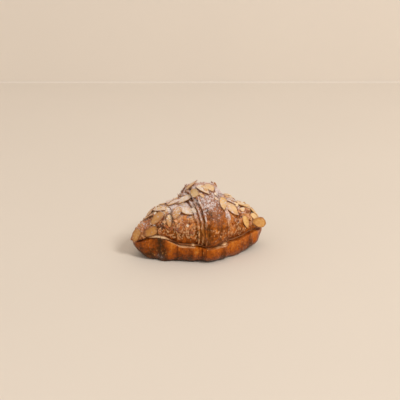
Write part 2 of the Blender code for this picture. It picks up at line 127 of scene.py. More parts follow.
# Flakes strewn behind the ridge: the ranges that they are drawn from, in the same units,
# a flake's width as a share of its length, and how far a degree of turn is
SCATTER_STATIONS = (-54.0, 58.0)
SCATTER_TURNS = (104.0, 168.0)
SCATTER_LENGTHS = (14.0, 19.0)
SCATTER_WIDTH = 0.53
SCATTER_TIPS = (-5.0, 5.0)
SCATTER_EDGES = (-8.0, 8.0)
SCATTER_PER_DEGREE = 0.6
SCATTER_SPACING = 0.013  # metres
SCATTERED_TOASTS = (0.30, 0.15, 0.45, 0.20, 0.35, 0.55, 0.25, 0.15, 0.40)
SCATTER_SEED = 4

# Every flake's shape, and the rays that find what is under it
FLAKE_SEED = 61
FLAKE_THICKNESS = 0.0011
FLAKE_SINK = 0.0005
FLAKE_BEND = 0.0006
FLAKE_BODY = 0.78  # the share of its thickness that is modelled
FLAKE_RIM = 0.045
FLAKE_CUP = (-0.0001, 0.0008)
FLAKE_TWIST = (-0.0006, 0.0006)
FLAKE_DRAWN = 0.55  # the power that draws its outline to a point
FLAKE_FULLNESS = 0.58
FLAKE_SIDES = 40
FLAKE_WAVES = ((2.0, 0.035), (5.0, 0.028), (11.0, 0.016))  # waves round it, and how tall
RAY_START = 0.015  # how far above a flake's plane the rays that look for the crust start
RAYS_ALONG = np.linspace(-0.42, 0.42, 7)  # shares of the flake's length
RAYS_ACROSS = np.linspace(-0.32, 0.32, 5)  # shares of its width
RAYS_WITHIN = 0.43
AXIS_OVER_CUT = 0.006  # how high the axis is that a turn round the roll is measured about
AXIS_REACH = 0.1

# The painted shade on the crust beside a flake: how near the flake has to be, and where
# the shade starts and how wide it is, as shares of the flake
SHADE_HEIGHT = 0.0022
SHADE_START = 0.93
SHADE_WIDTH = 0.13

# Places on the crust: station and turn round the roll (0 front, 90 ridge, 180 back),
# in millimetres and degrees, then a radius in millimetres and a strength
CRUMBLY_PLACES = (
    (-38, 30, 10, 1.0), (-43, 6, 7, 0.8), (38, 28, 10, 0.9), (48, 30, 7, 0.6),
    (28, 15, 7, 0.6), (-36, 140, 10, 0.8), (33, 150, 11, 0.9),
)
SUGARY_PLACES = (
    (2, 53, 13, 0.66), (14, 50, 9, 0.60), (-2, 64, 9, 0.62), (6, 33, 11, 0.32),
    (-26, 30, 12, 0.22), (-19, 68, 11, 1.0), (-31, 74, 11, 1.0), (17, 72, 8, 0.9),
    (20, 30, 5.5, 1.0), (-54, 60, 7, 0.35), (-51, 22, 6, 0.3), (-9, 66, 9, 0.85),
    (-5, 84, 8, 0.85), (-12, 97, 8, 1.0), (-12, 84, 7, 1.0), (6, 124, 13, 0.8),
    (-24, 112, 10, 0.6), (36, 108, 9, 0.5),
)
# Places where shade is painted on the crust, in hollows and between flakes: there it is baked
# darker, with less sugar and fewer flecks
SHADE_PAINTED_PLACES = (
    (42, 60, 7, 1.0), (-37, 52, 7, 0.8), (-44, 26, 6, 0.7), (-10, 76, 5, 1.0),
    (50, 48, 6, 0.8),
)
PLACE_FADE = (1.15, 0.25)  # from none to full strength, as shares of the radius
ROUND_THE_ROLL = 0.030  # how far a radian of turn is along the crust

# The grid that the crust is worked out on
STATION_SPACING = 0.00048
STEPS_PER_EDGE = 15
TIP_STATIONS = 18
SECTION_POINTS = 208
SIDE_POINTS = 44
CRUST_MASKS = ("bake", "lip", "crease", "crumb", "skin", "sugar", "flecks", "layers")

# The laminations' ends: how they curl, in degrees and in shares of their radius, how far
# from them their masks fade, and their thin sheets
EDGE_RADIUS_SHARE = 0.42  # of the wrap's rise, taken as LEAST_EDGE_RISE at least
LEAST_EDGE_RISE = 0.004
EDGE_TURN = 115.0
CREASE_RUN = 0.45
LIP_WIDTH = 0.35
CREASE_WIDTH = 0.14
CREASE_FADE = 0.0007
EDGE_FADE = 0.004
SHEET_RIPPLE = 0.055
SHEETS_PER_EDGE = 9.0
SHEET_SPACING = 0.00170
RAGGED = 0.0006
RAGGED_SIZE = 0.0034
LUMPS_FADE = 0.012  # how near the roll's middle its lumps start to shrink
SIDE_BULGE = 0.0008

# Heights of the relief; where there are two, the second is what varies
COARSE_RELIEF = 0.00034
FINE_RELIEF = 0.00014
SHEET_RELIEF = (0.00005, 0.00020)
CRUMB_RELIEF = (0.00080, 0.00040)
SKIN_RELIEF = (0.00035, 0.00022)
PIT_DEPTH = 0.00150
FOLD_RELIEF = 0.00060
CREASE_DEPTH = 0.00120
RIM_RELIEF = 0.00018
CUT_RELIEF = 0.00010
CREAM_RELIEF = 0.0008
CREAM_LUMPS = 0.0110
CREAM_RECESS = 0.0026
CREAM_BLOB_BULGE = 0.0012
CREAM_ROUNDING = 0.0009
CREAM_LEAST = 0.0010  # its least half width

# Stretches along the roll, by where they start, are full, start to fall and end, and
# spots, by their station and the distance at which they have fallen to 1/e
SAG_STRETCH = (-0.012, -0.004, 0.016, 0.023)
CREAM_STRETCH = (-0.056, -0.050, -0.041, -0.030)
CREAM_SPOT = (0.0175, 0.0036)
SMALL_CREAM_SPOT = (-0.0140, 0.0016)
CREAM_BLOB = (-0.0450, 0.0060)
RIM_GAP = (-0.0135, -0.0105, -0.0035, 0.0)
PALE_STRETCH = (-0.056, -0.046, 0.018, 0.034)
DARK_STRETCH = (-0.058, -0.050, -0.0405, -0.0385)
DEEP_CREASE = (-0.0091, 0.0014)
PALE_FOLD = (-0.0350, 0.0030)
# a painted glint low on the front of the bottom crust, made with the sugar's colour
GLINT_PAINTED_PATCH = (-0.0450, 0.0040)
BROKEN_LEFT = (-0.055, -0.045, -0.014, -0.008)
BROKEN_RIGHT = (0.022, 0.028, 0.056, 0.062)
SUGARY_FLAKES_LEFT = (-0.022, 0.015)
SUGARY_FLAKES_RIGHT = (0.031, 0.007)

# Noises by what they are for: the size of their lumps in millimetres, and their seed
NOISES = {
    "pale rim": (6.0, 18), "cream in front": (6.0, 19), "cream behind": (26.0, 20),
    "crumbling": (5.0, 21), "crumbly patches": (15.0, 22), "skin": (9.0, 23),
    "sheets": (6.0, 24), "relief": (6.2, 25), "small relief": (2.8, 26),
    "fine relief": (1.4, 27), "crumbs": (3.2, 28), "fine crumbs": (1.6, 29),
    "pits": (4.4, 30), "skin relief": (2.0, 31), "sugar": (11.0, 32), "bake": (17.0, 33),
    "fine bake": (6.0, 34), "cut lip": (6.0, 35), "lip": (3.5, 36), "flecks": (12.0, 37),
    "layers": (8.0, 38), "side relief": (8.0, 41), "fine side relief": (3.4, 42),
    "folds": (6.0, 43), "fine folds": (1.9, 44), "rim wave": (4.0, 45),
    "side bake": (15.0, 46), "fold bake": (5.5, 47), "side flecks": (12.0, 48),
    "cut face": (1.7, 51), "cream edge": (3.6, 52), "flake sugar": (10.0, 53),
    "fine cream edge": (1.4, 54),
}
UPRIGHT_FOLDS = (1.0, 0.3, 0.16)  # a noise's place times this has upright lumps

# Each half's crust: its tint, how streaky it is, and its share of the gloss
TOP_LOOK = ((1.0, 0.98, 0.90), 0.28, 1.0)
BOTTOM_LOOK = ((0.83, 0.66, 0.33), 0.20, 1.5)
SPECULAR_TINT = (1.0, 0.50, 0.13, 1.0)

# Strewn pieces: their seeds, and the ranges of a plate's half length and half width and
# of its curl across
SEEDS = {
    "sheets": 71, "crumbs": 72, "sugar": 73, "sheet bake": 74, "broken": 75,
    "broken toast": 76, "crumb bake": 77,
}
SHEET_SIZES = ((0.0014, 0.0044), (0.0008, 0.0020))
SHEET_THICKNESS = 0.00022
SHEET_CURL = (40.0, 170.0)
BROKEN_SIZES = ((0.0016, 0.0044), (0.0014, 0.0028))
BROKEN_THICKNESS = 0.0008
BROKEN_CURL = (-20.0, 60.0)
BROKEN_LIFT = 0.22
PLATE_CORNERS = 14
PLATE_BEND = 25.0
PLATE_RIM = 0.05
PLATE_RINGS = (0.35, 0.66, 0.85, 0.93)  # the rings inside its rim, as shares of its outline
PLATE_HEADING = 0.5
PLATE_JAG = 0.30
PLATE_TIP = (0.1, 1.8)  # shares of the lift

# Strewn lumps: how they are drawn, their rings of latitude and the points round each,
# their radius and the share of it that is sunk
LUMP_HEADING = 1.5
LUMP_SPREAD = 0.40  # of the logarithm of its radius
LUMP_STRETCH = (0.60, 1.40)
LUMP_DENT = 0.30
LUMP_STRAY = 0.0003
CRUMB_SHAPE = (3, 6)
CRUMB_RADIUS = 0.00036
CRUMB_SINK = 0.45
GRAIN_SHAPE = (1, 4)
GRAIN_SINK = 0.4

# Scraps of crust: how much less baked they are than the crust under them, by how much
# that varies, and the heights between which they start to lie
SHEETS_PALER = 0.11
CRUMBS_PALER = 0.05
SCRAPS_VARY = (-0.22, 0.18)
SCRAPS_ABOVE = (0.024, 0.028)

# The camera, the lights and the table; azimuths run from the front to the right
CAMERA_AZIMUTH = math.radians(-15.0)
CAMERA_PLACE = (-0.20681, -0.77182, 0.34412)
CAMERA_TURN = (70.066, 0.0, -15.150)
CAMERA_LENS = 75.0
CAMERA_SENSOR = 36.0
KEY_LIGHT = {
    "size": 1.05, "colour": (1.0, 0.97, 0.93), "azimuth": CAMERA_AZIMUTH + 0.85,
    "elevation": math.radians(44.0), "distance": 4.0,
}
FILL_LIGHT = {
    "size": 1.4, "colour": (1.0, 0.97, 0.94), "azimuth": CAMERA_AZIMUTH - 0.9,
    "elevation": math.radians(35.0), "distance": 1.8,
}
TABLE_RUN = (-4.0, -1.0, 0.0)
TABLE_HALF_WIDTH = 5.0
WALL_HEIGHT = 2.5
CORNER_RADIUS = 0.004


# ---- noise and curves


def lattice_value(cells, seed):
    """A fixed pseudo-random number from -1 to 1 for each whole-numbered cell."""
    mixed = cells[..., 0] * 73856093 ^ cells[..., 1] * 19349663 ^ cells[..., 2] * 83492791
    mixed = (mixed ^ seed * 2654435761) & 0xFFFFFFFF
    mixed = (mixed ^ (mixed >> 15)) * 2246822519 & 0xFFFFFFFF
    mixed = (mixed ^ (mixed >> 13)) * 3266489917 & 0xFFFFFFFF
    mixed = mixed ^ (mixed >> 16)
    return mixed / 0x7FFFFFFF - 1.0


def lumps(points, size, seed):
    """Smooth value noise from -1 to 1: the lattice numbers blended over each cell."""
    scaled = points / size
    cell = np.floor(scaled).astype(np.int64)
    share = scaled - cell
    share = share * share * (3.0 - 2.0 * share)
    total = np.zeros(points.shape[:-1])
    for corner in range(8):
        offset = np.array([corner & 1, corner >> 1 & 1, corner >> 2 & 1])
        weight = np.prod(np.where(offset, share, 1.0 - share), axis=-1)
        total += weight * lattice_value(cell + offset, seed)
    return total


def noise(points, name):
    """The noise of that name in NOISES, from -1 to 1."""
    size, seed = NOISES[name]
    return lumps(points, size / 1000.0, seed)


def clipped(value):
    """The value, held between 0 and 1."""
    return np.clip(value, 0.0, 1.0)


def smooth_step(value, start, end):
    """0 up to start, 1 from end on, and an S curve between them, either way round."""
    share = clipped((value - start) / (end - start))
    return share * share * (3.0 - 2.0 * share)


def bell(value, middle, width):
    """A Gaussian bell: 1 at the middle, 1/e a width away from it."""
    return np.exp(-(((value - middle) / width) ** 2))


def stretch(value, start, rise_end, fall_start, end):
    """S curves up from 0 to 1 and down again."""
    return smooth_step(value, start, rise_end) * smooth_step(value, end, fall_start)


def by_end(x, name):
    """LEFT's value for stations left of the middle and RIGHT's for the others."""
    return np.where(x < 0.0, LEFT[name], RIGHT[name])


# ---- the roll's profile


def edge_profile(steps):
    """One lamination's end as (run, plain run, share of the rise) from its top to its
    crease: a quarter circle that goes on to turn under, rippled by its own thin sheets,
    then a straight way in to the crease. The plain run doesn't turn under."""
    angles = np.radians(np.linspace(0.0, EDGE_TURN, steps + 1))
    radius = 1.0 + SHEET_RIPPLE * np.sin(angles * SHEETS_PER_EDGE) * np.sin(angles)
    inward = np.linspace(0.0, 1.0, 6)[1:]
    run = radius * np.sin(angles) - 1.0
    height = (1.0 + radius * np.cos(angles)) / 2.0
    run = np.append(run, run[-1] - (CREASE_RUN + run[-1]) * inward)
    height = np.append(height, height[-1] * (1.0 - inward))
    return run, np.linspace(-1.0, -CREASE_RUN, len(run)), height


def lamination_ends():
    """Each lamination's end, left to right: its place, its side, its wrap's number, the
    wrap's share above it and below it, and its radius."""
    ends = []
    for number, wrap in enumerate(WRAPS):
        for side, end, leaves in zip((-1, 1), wrap["ends"], wrap["leaves"]):
            radius = EDGE_RADIUS_SHARE * max(*wrap["rise"], LEAST_EDGE_RISE) / leaves
            for leaf in range(leaves):
                x = end + side * (leaf - (leaves - 1) / 2.0) * LEAF_SPACING
                above, below = (leaves - leaf) / leaves, (leaves - leaf - 1) / leaves
                ends.append((x, side, number, above, below, radius))
    return sorted(ends)


def long_profile(spacing, steps):
    """Stations along the roll, left to right, as (x of each station, its plain x, share
    of each wrap that is there). A wrap's share is 0 past its ends, 1 inside them, and
    follows edge_profile in between. The plain x always grows, where x turns back under a
    lamination's end. The tips close along quarter circles."""
    run, plain_run, height = edge_profile(steps)
    turn = np.linspace(math.radians(5.0), math.pi / 2, TIP_STATIONS)
    left_tip = LEFT["rounding"] * (1.0 - np.cos(turn)) - LEFT["length"]
    right_tip = RIGHT["length"] - RIGHT["rounding"] * (1.0 - np.cos(turn[::-1]))
    bare = np.zeros((TIP_STATIONS, len(WRAPS)))
    level = np.zeros(len(WRAPS))
    parts = [(left_tip, left_tip, bare)]

    def run_level(end):
        """Level stations, evenly spaced, from the last one up to an end."""
        start = parts[-1][1][-1]
        count = max(math.ceil((end - start) / spacing), 1)
        inside = np.linspace(start, end, count + 1)[1:-1]
        parts.append((inside, inside, np.tile(level, (len(inside), 1))))

    for x, side, number, above, below, radius in lamination_ends():
        plain = x + side * plain_run[::side] * radius
        run_level(plain[0])
        shares = np.tile(level, (len(plain), 1))
        shares[:, number] = below + (above - below) * height[::side]
        parts.append((x + side * run[::side] * radius, plain, shares))
        level[number] = below if side > 0 else above
    run_level(right_tip[0])
    parts.append((right_tip, right_tip, bare))
    return tuple(np.concatenate(part) for part in zip(*parts))


def lower_profile(spacing, steps, shorter):
    """The stations and shares of long_profile that are further in from the tips."""
    _, x, shares = long_profile(spacing, steps)
    kept = (x > shorter - LEFT["length"]) & (x < RIGHT["length"] - shorter)
    return x[kept], shares[kept]


def end_masks(x):
    """How near each station is to a lamination's lip (a bell), to the crease under it (a
    bell with an exponential outside it), and to any lamination's end (an exponential)."""
    lip, crease, near = np.zeros((3, len(x)))
    for end, side, _, _, _, radius in lamination_ends():
        outside = side * (x - end) + CREASE_RUN * radius
        lip = np.maximum(lip, bell(outside, -LIP_WIDTH * radius, LIP_WIDTH * radius))
        crease = np.maximum(crease, (outside > 0) * np.exp(-np.abs(outside) / CREASE_FADE))
        crease = np.maximum(crease, bell(outside, 0.0, CREASE_WIDTH * radius))
        near = np.maximum(near, np.exp(-np.abs(outside) / EDGE_FADE))
    return lip, crease, near


def taper(x, power, fullness):
    """1 at the middle and 0 at the tips, along a rounded arch."""
    share = clipped(np.abs(x) / (by_end(x, "length") + TAPER_PAST))
    return (1.0 - share**power) ** fullness


def tip_closing(x, shorter):
    """1 along the roll and down to 0 at a tip, as a quarter circle."""
    beyond = np.abs(x) - by_end(x, "length") + by_end(x, "rounding") + shorter
    return np.sqrt(1.0 - clipped(beyond / by_end(x, "rounding")) ** 2)


def along(x):
    """How far each station is along each wrap: 0 at its left end, 1 at its right."""
    ends = np.array([wrap["ends"] for wrap in WRAPS])
    return clipped((x[:, None] - ends[:, 0]) / np.ptp(ends, axis=1))


def crowned(shares, x):
    """The wraps' shares, swollen by a parabola between the two ends of each."""
    return shares * (1.0 + WRAP_CROWN * (1.0 - 2.0 * (2.0 * along(x) - 1.0) ** 2))


def cut_height(x):
    """Height of the slice: level, sagging under the outermost wrap, climbing towards
    the tips and dropping again at them."""
    from_middle = np.abs(x)
    climb = smooth_step(from_middle, by_end(x, "climb_from"), by_end(x, "climb_to"))
    drop = smooth_step(from_middle, by_end(x, "climb_to") + DROP_AFTER, by_end(x, "length"))
    sag = CUT_SAG * stretch(x, *SAG_STRETCH)
    return CUT_HEIGHT + by_end(x, "climb") * climb - by_end(x, "drop") * drop - sag


def ridge_height(x, shares):
    """Height of the top line: the core's arch with the wraps' rises on it."""
    rises = np.array([wrap["rise"] for wrap in WRAPS])
    rise = rises[:, 0] + along(x) * (rises[:, 1] - rises[:, 0])
    tip = by_end(x, "height")
    core = tip + (CORE_HEIGHT - tip) * taper(x, *RIDGE_TAPER)
    return np.maximum(core + (shares * rise).sum(axis=1), cut_height(x) + LEAST_TOP)


def half_width(x, shares):
    """Half of the roll's width: a rounded diamond with the wraps' sides on it."""
    core = TIP_HALF_WIDTH + (CORE_HALF_WIDTH - TIP_HALF_WIDTH) * taper(x, *SIDE_TAPER)
    return core + shares @ np.array([wrap["side"] for wrap in WRAPS])


def leaned(x, forward):
    """Where a station lies at each place round the roll, from 1 in front to -1 behind:
    further right in front, further left behind."""
    lean = LEAN * (1.0 - (x / by_end(x, "length")) ** 2)
    return x[:, None] + lean[:, None] * forward


def foot_height(x):
    """Height of the underside: flat in the middle, lifted at the tips by a power."""
    start, end = by_end(x, "flat"), by_end(x, "length") + FOOT_PAST
    return by_end(x, "lift") * clipped((np.abs(x) - start) / (end - start)) ** FOOT_POWER


# ---- surfaces of the roll


def solid_lumps(points):
    """How far the crust's slow lumps push it out: the solids' own noises, added up."""
    return sum(tall * lumps(points, size, LUMP_SEED) for size, tall in LUMPS)


def plain_top(turned_x, x, shares, angles):
    """The top half's crust as points, stations by angles: an arch over the cut, round
    above its widest place and turned under below it, pushed out by the crust's lumps.
    The ends of the laminations stray along the roll, and not at the cut."""
    shares = crowned(shares, x)
    closing = tip_closing(x, 0.0)[:, None]
    floor = cut_height(x) + CREAM_THICKNESS / 2.0 + GAP
    ridge = ridge_height(x, shares)
    widest = floor + WIDEST_SHARE * (ridge - floor)
    sine, cosine = np.sin(angles), np.cos(angles)
    upper = (ridge - widest)[:, None] * sine
    lower = (widest - floor)[:, None] * sine / math.sin(TUCK_ANGLE)
    rise = np.where(sine > 0.0, upper, lower) + (widest - floor)[:, None]
    half = half_width(x, shares) + OVERHANG * shares[:, -1]
    points = np.empty((len(x), len(angles), 3))
    points[..., 0] = leaned(x, cosine)
    points[..., 1] = -half[:, None] * closing * cosine
    points[..., 2] = floor[:, None] + rise * closing
    stray = WANDER * lumps(points, WANDER_SIZE, LUMP_SEED)
    ragged = RAGGED * lumps(points, RAGGED_SIZE, LUMP_SEED + 1)
    stray = (stray + ragged * end_masks(x)[2][:, None]) * closing
    points[..., 0] += ((turned_x - x)[:, None] + stray) * smooth_step(sine, *STRAY_FROM)
    out = points * (0.0, 1.0, 1.0)
    out[..., 2] -= widest[:, None]
    reach = np.linalg.norm(out, axis=-1, keepdims=True)
    out = out / np.maximum(reach, 1e-6) * clipped(reach / LUMPS_FADE)
    rough = points + out * solid_lumps(points)[..., None]
    rough[:, [0, -1], 2] = points[:, [0, -1], 2]
    return rough


def plain_side(x, shares, heights, side):
    """One side of the bottom half's crust (-1 front, 1 back) as points, stations by
    heights, from the table (0) to the rim (1): drawn in at the table as a quarter circle
    and upright at the rim."""
    shares = crowned(shares, x)
    closing = tip_closing(x, BOTTOM_SHORTER)
    rim = cut_height(x) - CREAM_THICKNESS / 2.0 - GAP
    drawn = clipped(1.0 - heights / FOOT_SHARE)
    inset = FOOT_INSET * (1.0 - np.sqrt(1.0 - drawn**2))
    bulge = SIDE_BULGE * np.sin(math.pi * heights)
    ledge = LEDGE * smooth_step(np.abs(x), *LEDGE_FADE)
    ledge *= 1.0 - LEDGE_UNDER_WRAP * shares[:, -1]
    half = (half_width(x, shares) + ledge)[:, None]
    body = (rim - foot_height(x)) * np.maximum(closing, 0.02)
    points = np.empty((len(x), len(heights), 3))
    points[..., 0] = leaned(x, -side * np.ones(len(heights)))
    points[..., 1] = side * (half + bulge - inset * half / half.max()) * closing[:, None]
    points[..., 2] = rim[:, None] - body[:, None] * (1.0 - heights)
    points[..., 1] += side * solid_lumps(points) * closing[:, None]
    return points


def unit_length(vectors):
    """The vectors divided by their lengths."""
    return vectors / np.maximum(np.linalg.norm(vectors, axis=-1, keepdims=True), 1e-12)


def outward(points):
    """Unit normals of a grid of points, from the cross product of its two directions."""
    return unit_length(np.cross(*np.gradient(points, axis=(0, 1))))


def places_mask(station, turn, places):
    """The strongest of some round places on the crust: each falls off from its middle
    to its radius as an S curve."""
    mask = np.zeros(np.broadcast(station, turn).shape)
    for x, angle, radius, strength in places:
        round_it = (turn - math.radians(angle)) * ROUND_THE_ROLL
        apart = np.hypot(station - x / 1000.0, round_it) / (radius / 1000.0)
        mask = np.maximum(mask, strength * smooth_step(apart, *PLACE_FADE))
    return mask


def cream_stretch(points):
    """Where cream comes out of the slice: in front, on the left and at two spots beside
    the outermost wrap, and in stretches of slow noise behind."""
    x = points[..., 0]
    left = stretch(x, *CREAM_STRETCH)
    left = left * (0.85 + 0.30 * noise(points, "cream in front"))
    spots = np.maximum(bell(x, *CREAM_SPOT), 0.7 * bell(x, *SMALL_CREAM_SPOT))
    behind = smooth_step(noise(points, "cream behind"), -0.15, 0.35)
    return np.where(points[..., 1] < 0.0, np.maximum(left, spots), behind)


def pale_rim(points):
    """Where the rim at the slice is pale and dusted: all along but for the gap under the
    outermost wrap's left end, more in some stretches than in others."""
    x = points[..., 0]
    gap = stretch(x, *RIM_GAP)
    near = stretch(x, *PALE_STRETCH)
    return (1.0 - gap) * clipped(0.12 + 0.60 * near + 0.35 * noise(points, "pale rim"))


@functools.lru_cache(maxsize=None)
def top_crust_surface():
    """The top half's crust with its relief, stations by angles, as (points, normals,
    masks). The relief runs along the normals: lumps of three sizes, thin sheets near the
    laminations' ends, a crumbly flank, and a skin of baked cream along the ridge."""
    turned_x, x, shares = long_profile(STATION_SPACING, STEPS_PER_EDGE)
    angles = np.linspace(-TUCK_ANGLE, math.pi + TUCK_ANGLE, SECTION_POINTS)
    points = plain_top(turned_x, x, shares, angles)
    up = outward(points)[..., 2]
    lip, crease, near = (mask[:, None] for mask in end_masks(x))
    station, outermost, sine = x[:, None], shares[:, -1:], np.sin(angles)
    over_cut = smooth_step(sine, -0.40, -0.12)

    crumbly = places_mask(station, angles, CRUMBLY_PLACES)
    crumbly *= 0.6 + 0.4 * noise(points, "crumbling")
    patches = 0.6 * smooth_step(noise(points, "crumbly patches"), 0.25, 0.80)
    crumbly = np.maximum(crumbly, patches) * smooth_step(sine, -0.3, 0.0)
    crumbly *= 1.0 - 0.8 * outermost
    skin = smooth_step(noise(points, "skin") + 0.9 * sine - 0.55, 0.10, 0.38)
    skin *= smooth_step(up, 0.35, 0.75) * (1.0 - 0.75 * outermost)
    sheets = np.sin((station + 0.0009 * noise(points, "sheets")) * math.tau / SHEET_SPACING)
    pits = smooth_step(noise(points, "pits"), 0.16, 0.42) * smooth_step(crumbly, 0.25, 0.75)

    small = noise(points, "small relief")
    crumbs = CRUMB_RELIEF[0] * noise(points, "crumbs")
    crumbs += CRUMB_RELIEF[1] * noise(points, "fine crumbs")
    relief = COARSE_RELIEF * (noise(points, "relief") + small)
    relief += FINE_RELIEF * noise(points, "fine relief") + crumbly * crumbs - PIT_DEPTH * pits
    relief += sheets * (SHEET_RELIEF[0] + SHEET_RELIEF[1] * near)
    relief += skin * (SKIN_RELIEF[0] + SKIN_RELIEF[1] * noise(points, "skin relief"))
    relief *= (1.0 - 0.9 * crease) * (0.25 + 0.75 * over_cut)
    relief *= clipped(2.0 * tip_closing(x, 0.0)[:, None])
    relief[:, [0, -1]] = 0.0
    points = points + outward(points) * relief[..., None]
    normals = outward(points)
    up = normals[..., 2]

    # painted shade: in those places the crust is darker, with less sugar and fewer flecks
    dark = places_mask(station, angles, SHADE_PAINTED_PLACES)
    sugar = smooth_step(up, 0.30, 0.98) * (0.60 + 0.25 * noise(points, "sugar"))
    sugar = np.maximum(places_mask(station, angles, SUGARY_PLACES), sugar) * (1.0 - 0.7 * dark)
    sugar = np.maximum(sugar, 0.75 * lip * smooth_step(points[..., 2], 0.034, 0.050))
    bake = 0.65 + 0.16 * noise(points, "bake") + 0.10 * noise(points, "fine bake") - 0.10 * small
    bake += 0.22 * near * (1.0 - lip) + 0.13 * outermost - 0.20 * np.clip(sine, -0.4, 1.0)
    # painted shade: the pits and the shaded places are baked darker
    bake += 0.10 * crumbly + 0.30 * pits + 0.32 * dark
    cut_lip = smooth_step(sine, -0.22, -0.38) * (0.75 + 0.25 * noise(points, "cut lip"))
    edge = lip * (0.65 + 0.5 * noise(points, "lip"))
    # flecks are partly thin pale scales of crust and partly painted glints
    flecks = 0.42 + 0.30 * crumbly + 0.25 * noise(points, "flecks")
    flecks -= 0.22 * outermost + 0.35 * dark
    layers = near * (0.5 - 0.5 * sheets) * (0.5 + 0.5 * noise(points, "layers"))
    masks = {
        "bake": bake, "lip": edge - 0.25 * (station > 0.012), "edge": edge,
        # the crease mask is painted shade in the laminations' creases and in the pits
        "crease": crease * over_cut + 0.5 * pits, "skin": skin, "crumbly": crumbly,
        "crumb": cut_lip * (0.10 + 0.90 * cream_stretch(points)),
        "sugar": sugar * smooth_step(up, -0.05, 0.30) * (1.0 - 0.35 * crease),
        "flecks": flecks * over_cut, "layers": layers * over_cut,
    }
    return points, normals, {label: clipped(mask) for label, mask in masks.items()}


def bottom_crust_sides():
    """The bottom half's crust, front and back, as (points, masks, pale rim) each, stations
    by heights. Its relief is lumps, and upright folds where the wraps go under it."""
    x, shares = lower_profile(STATION_SPACING, STEPS_PER_EDGE, BOTTOM_SHORTER + 0.0001)
    crease = (end_masks(x)[1] * (0.35 + 0.65 * bell(x, *DEEP_CREASE)))[:, None]
    low = np.linspace(0.0, 1.0, SIDE_POINTS)
    sides = []
    for side in (-1.0, 1.0):
        points = plain_side(x, shares, low, side)
        normals = outward(points) * -side
        upright = points * UPRIGHT_FOLDS
        relief = FOLD_RELIEF * (noise(points, "side relief") + noise(upright, "folds"))
        relief += COARSE_RELIEF * noise(points, "fine side relief")
        relief += FINE_RELIEF * noise(upright, "fine folds")
        relief -= CREASE_DEPTH * crease * smooth_step(low, 0.05, 0.4)
        relief *= clipped(1.6 * tip_closing(x, BOTTOM_SHORTER)[:, None])
        relief *= 1.0 - 0.7 * smooth_step(low, 0.93, 1.0)
        rim_wave = RIM_RELIEF * (1.0 + noise(points[:, -1:] * (1.0, 1.0, 0.0), "rim wave"))
        points = points + normals * relief[..., None]
        points[..., 2] -= rim_wave * smooth_step(low, 0.8, 1.0)
        points[..., 2] = np.maximum(points[..., 2], 0.0)

        station, in_front, pale = points[..., 0], side < 0.0, pale_rim(points)
        bake = 0.74 + 0.17 * noise(points, "side bake") + 0.25 * noise(upright, "fold bake")
        bake -= 0.16 * bell(station, *PALE_FOLD) + 0.20 * smooth_step(low, 0.5, 1.0)
        bake += 0.11 * in_front * stretch(station, *DARK_STRETCH)
        bake += 0.08 * smooth_step(station, -0.038, -0.048)
        # painted contact shadow: at the very foot the crust is baked much darker; over its lower
        # half it also grows darker towards the table
        bake += 0.14 * smooth_step(low, 0.50, 0.0) + 0.35 * smooth_step(low, 0.20, 0.02)
        # painted glint: a patch of sugar colour low on the front
        painted_glint = in_front * bell(station, *GLINT_PAINTED_PATCH) * bell(low, 0.22, 0.11)
        ends = smooth_step(np.abs(station), 0.034, 0.048)
        masks = {
            "bake": bake, "lip": smooth_step(low, 0.955, 0.985) * (0.10 + 0.75 * pale),
            # flecks are partly thin pale scales of crust and partly painted glints
            "flecks": 0.06 + 0.20 * noise(points, "side flecks") + 0.04 * ends,
            # the crease mask is painted shade in the folds and a painted contact shadow at the foot
            "crease": 0.50 * crease + 0.7 * smooth_step(low, 0.07, 0.0),
            "sugar": 0.38 * painted_glint + 0.16 * smooth_step(low, 0.95, 1.0) * pale,
        }
        masks = {label: clipped(mask) for label, mask in masks.items()}
        sides.append((points, masks, pale))
    return sides


# ---- faces and pieces


def loft_faces(count, around):
    """Quads between closed rings of points, and fans that close both ends on two poles,
    which come after the rings' points. Rings that turn clockwise, seen from where they
    go, have their faces outwards."""
    ring = np.arange(count - 1)[:, None] * around
    at = np.arange(around)[None, :]
    after = (at + 1) % around
    quads = np.stack([ring + at, ring + around + at, ring + around + after, ring + after], -1)
    at, after = at[0], after[0]
    first, start = np.full(around, count * around), (count - 1) * around
    near_fan = np.stack([first, at, after], -1)
    far_fan = np.stack([first + 1, start + after, start + at], -1)
    return quads.reshape(-1, 4), np.concatenate([near_fan, far_fan])


def face_list(faces):
    """The faces of all groups in one list."""
    return [face for group in faces for face in group.tolist()]


def with_poles(rings):
    """The rings' values in one row, with the means of the first and last ring after."""
    flat = rings.reshape(-1, *rings.shape[2:])
    return np.concatenate([flat, rings[0].mean(axis=0)[None], rings[-1].mean(axis=0)[None]])


def between(first, last, shares):
    """Rows of values from first to last, at the given shares of the way."""
    shape = (1, -1) + (1,) * (first.ndim - 1)
    return first[:, None] + shares.reshape(shape) * (last - first)[:, None]


def closed_rings(front, over, back, foot):
    """Rings of values: up the front, over the top, down the back and, at the foot's
    shares of the way, back along the underside."""
    under = between(back[:, 0], front[:, 0], foot)
    return np.concatenate([front, over, back[:, ::-1], under], axis=1)


def copies(points, faces, count):
    """The faces of many copies of one shape, each copy's points after the last one's."""
    step = (np.arange(count) * len(points))[:, None, None]
    return [(group[None] + step).reshape(-1, group.shape[1]) for group in faces]


def link_object(name, data):
    """A new object at the origin, linked to the scene."""
    made = bpy.data.objects.new(name, data)
    bpy.context.scene.collection.objects.link(made)
    return made


def mesh_object(name, points, faces, material):
    """A smooth mesh object at the origin, with one material."""
    mesh = bpy.data.meshes.new(name)
    mesh.from_pydata(points.reshape(-1, 3).tolist(), [], face_list(faces))
    mesh.shade_smooth()
    mesh.materials.append(material)
    return link_object(name, mesh)


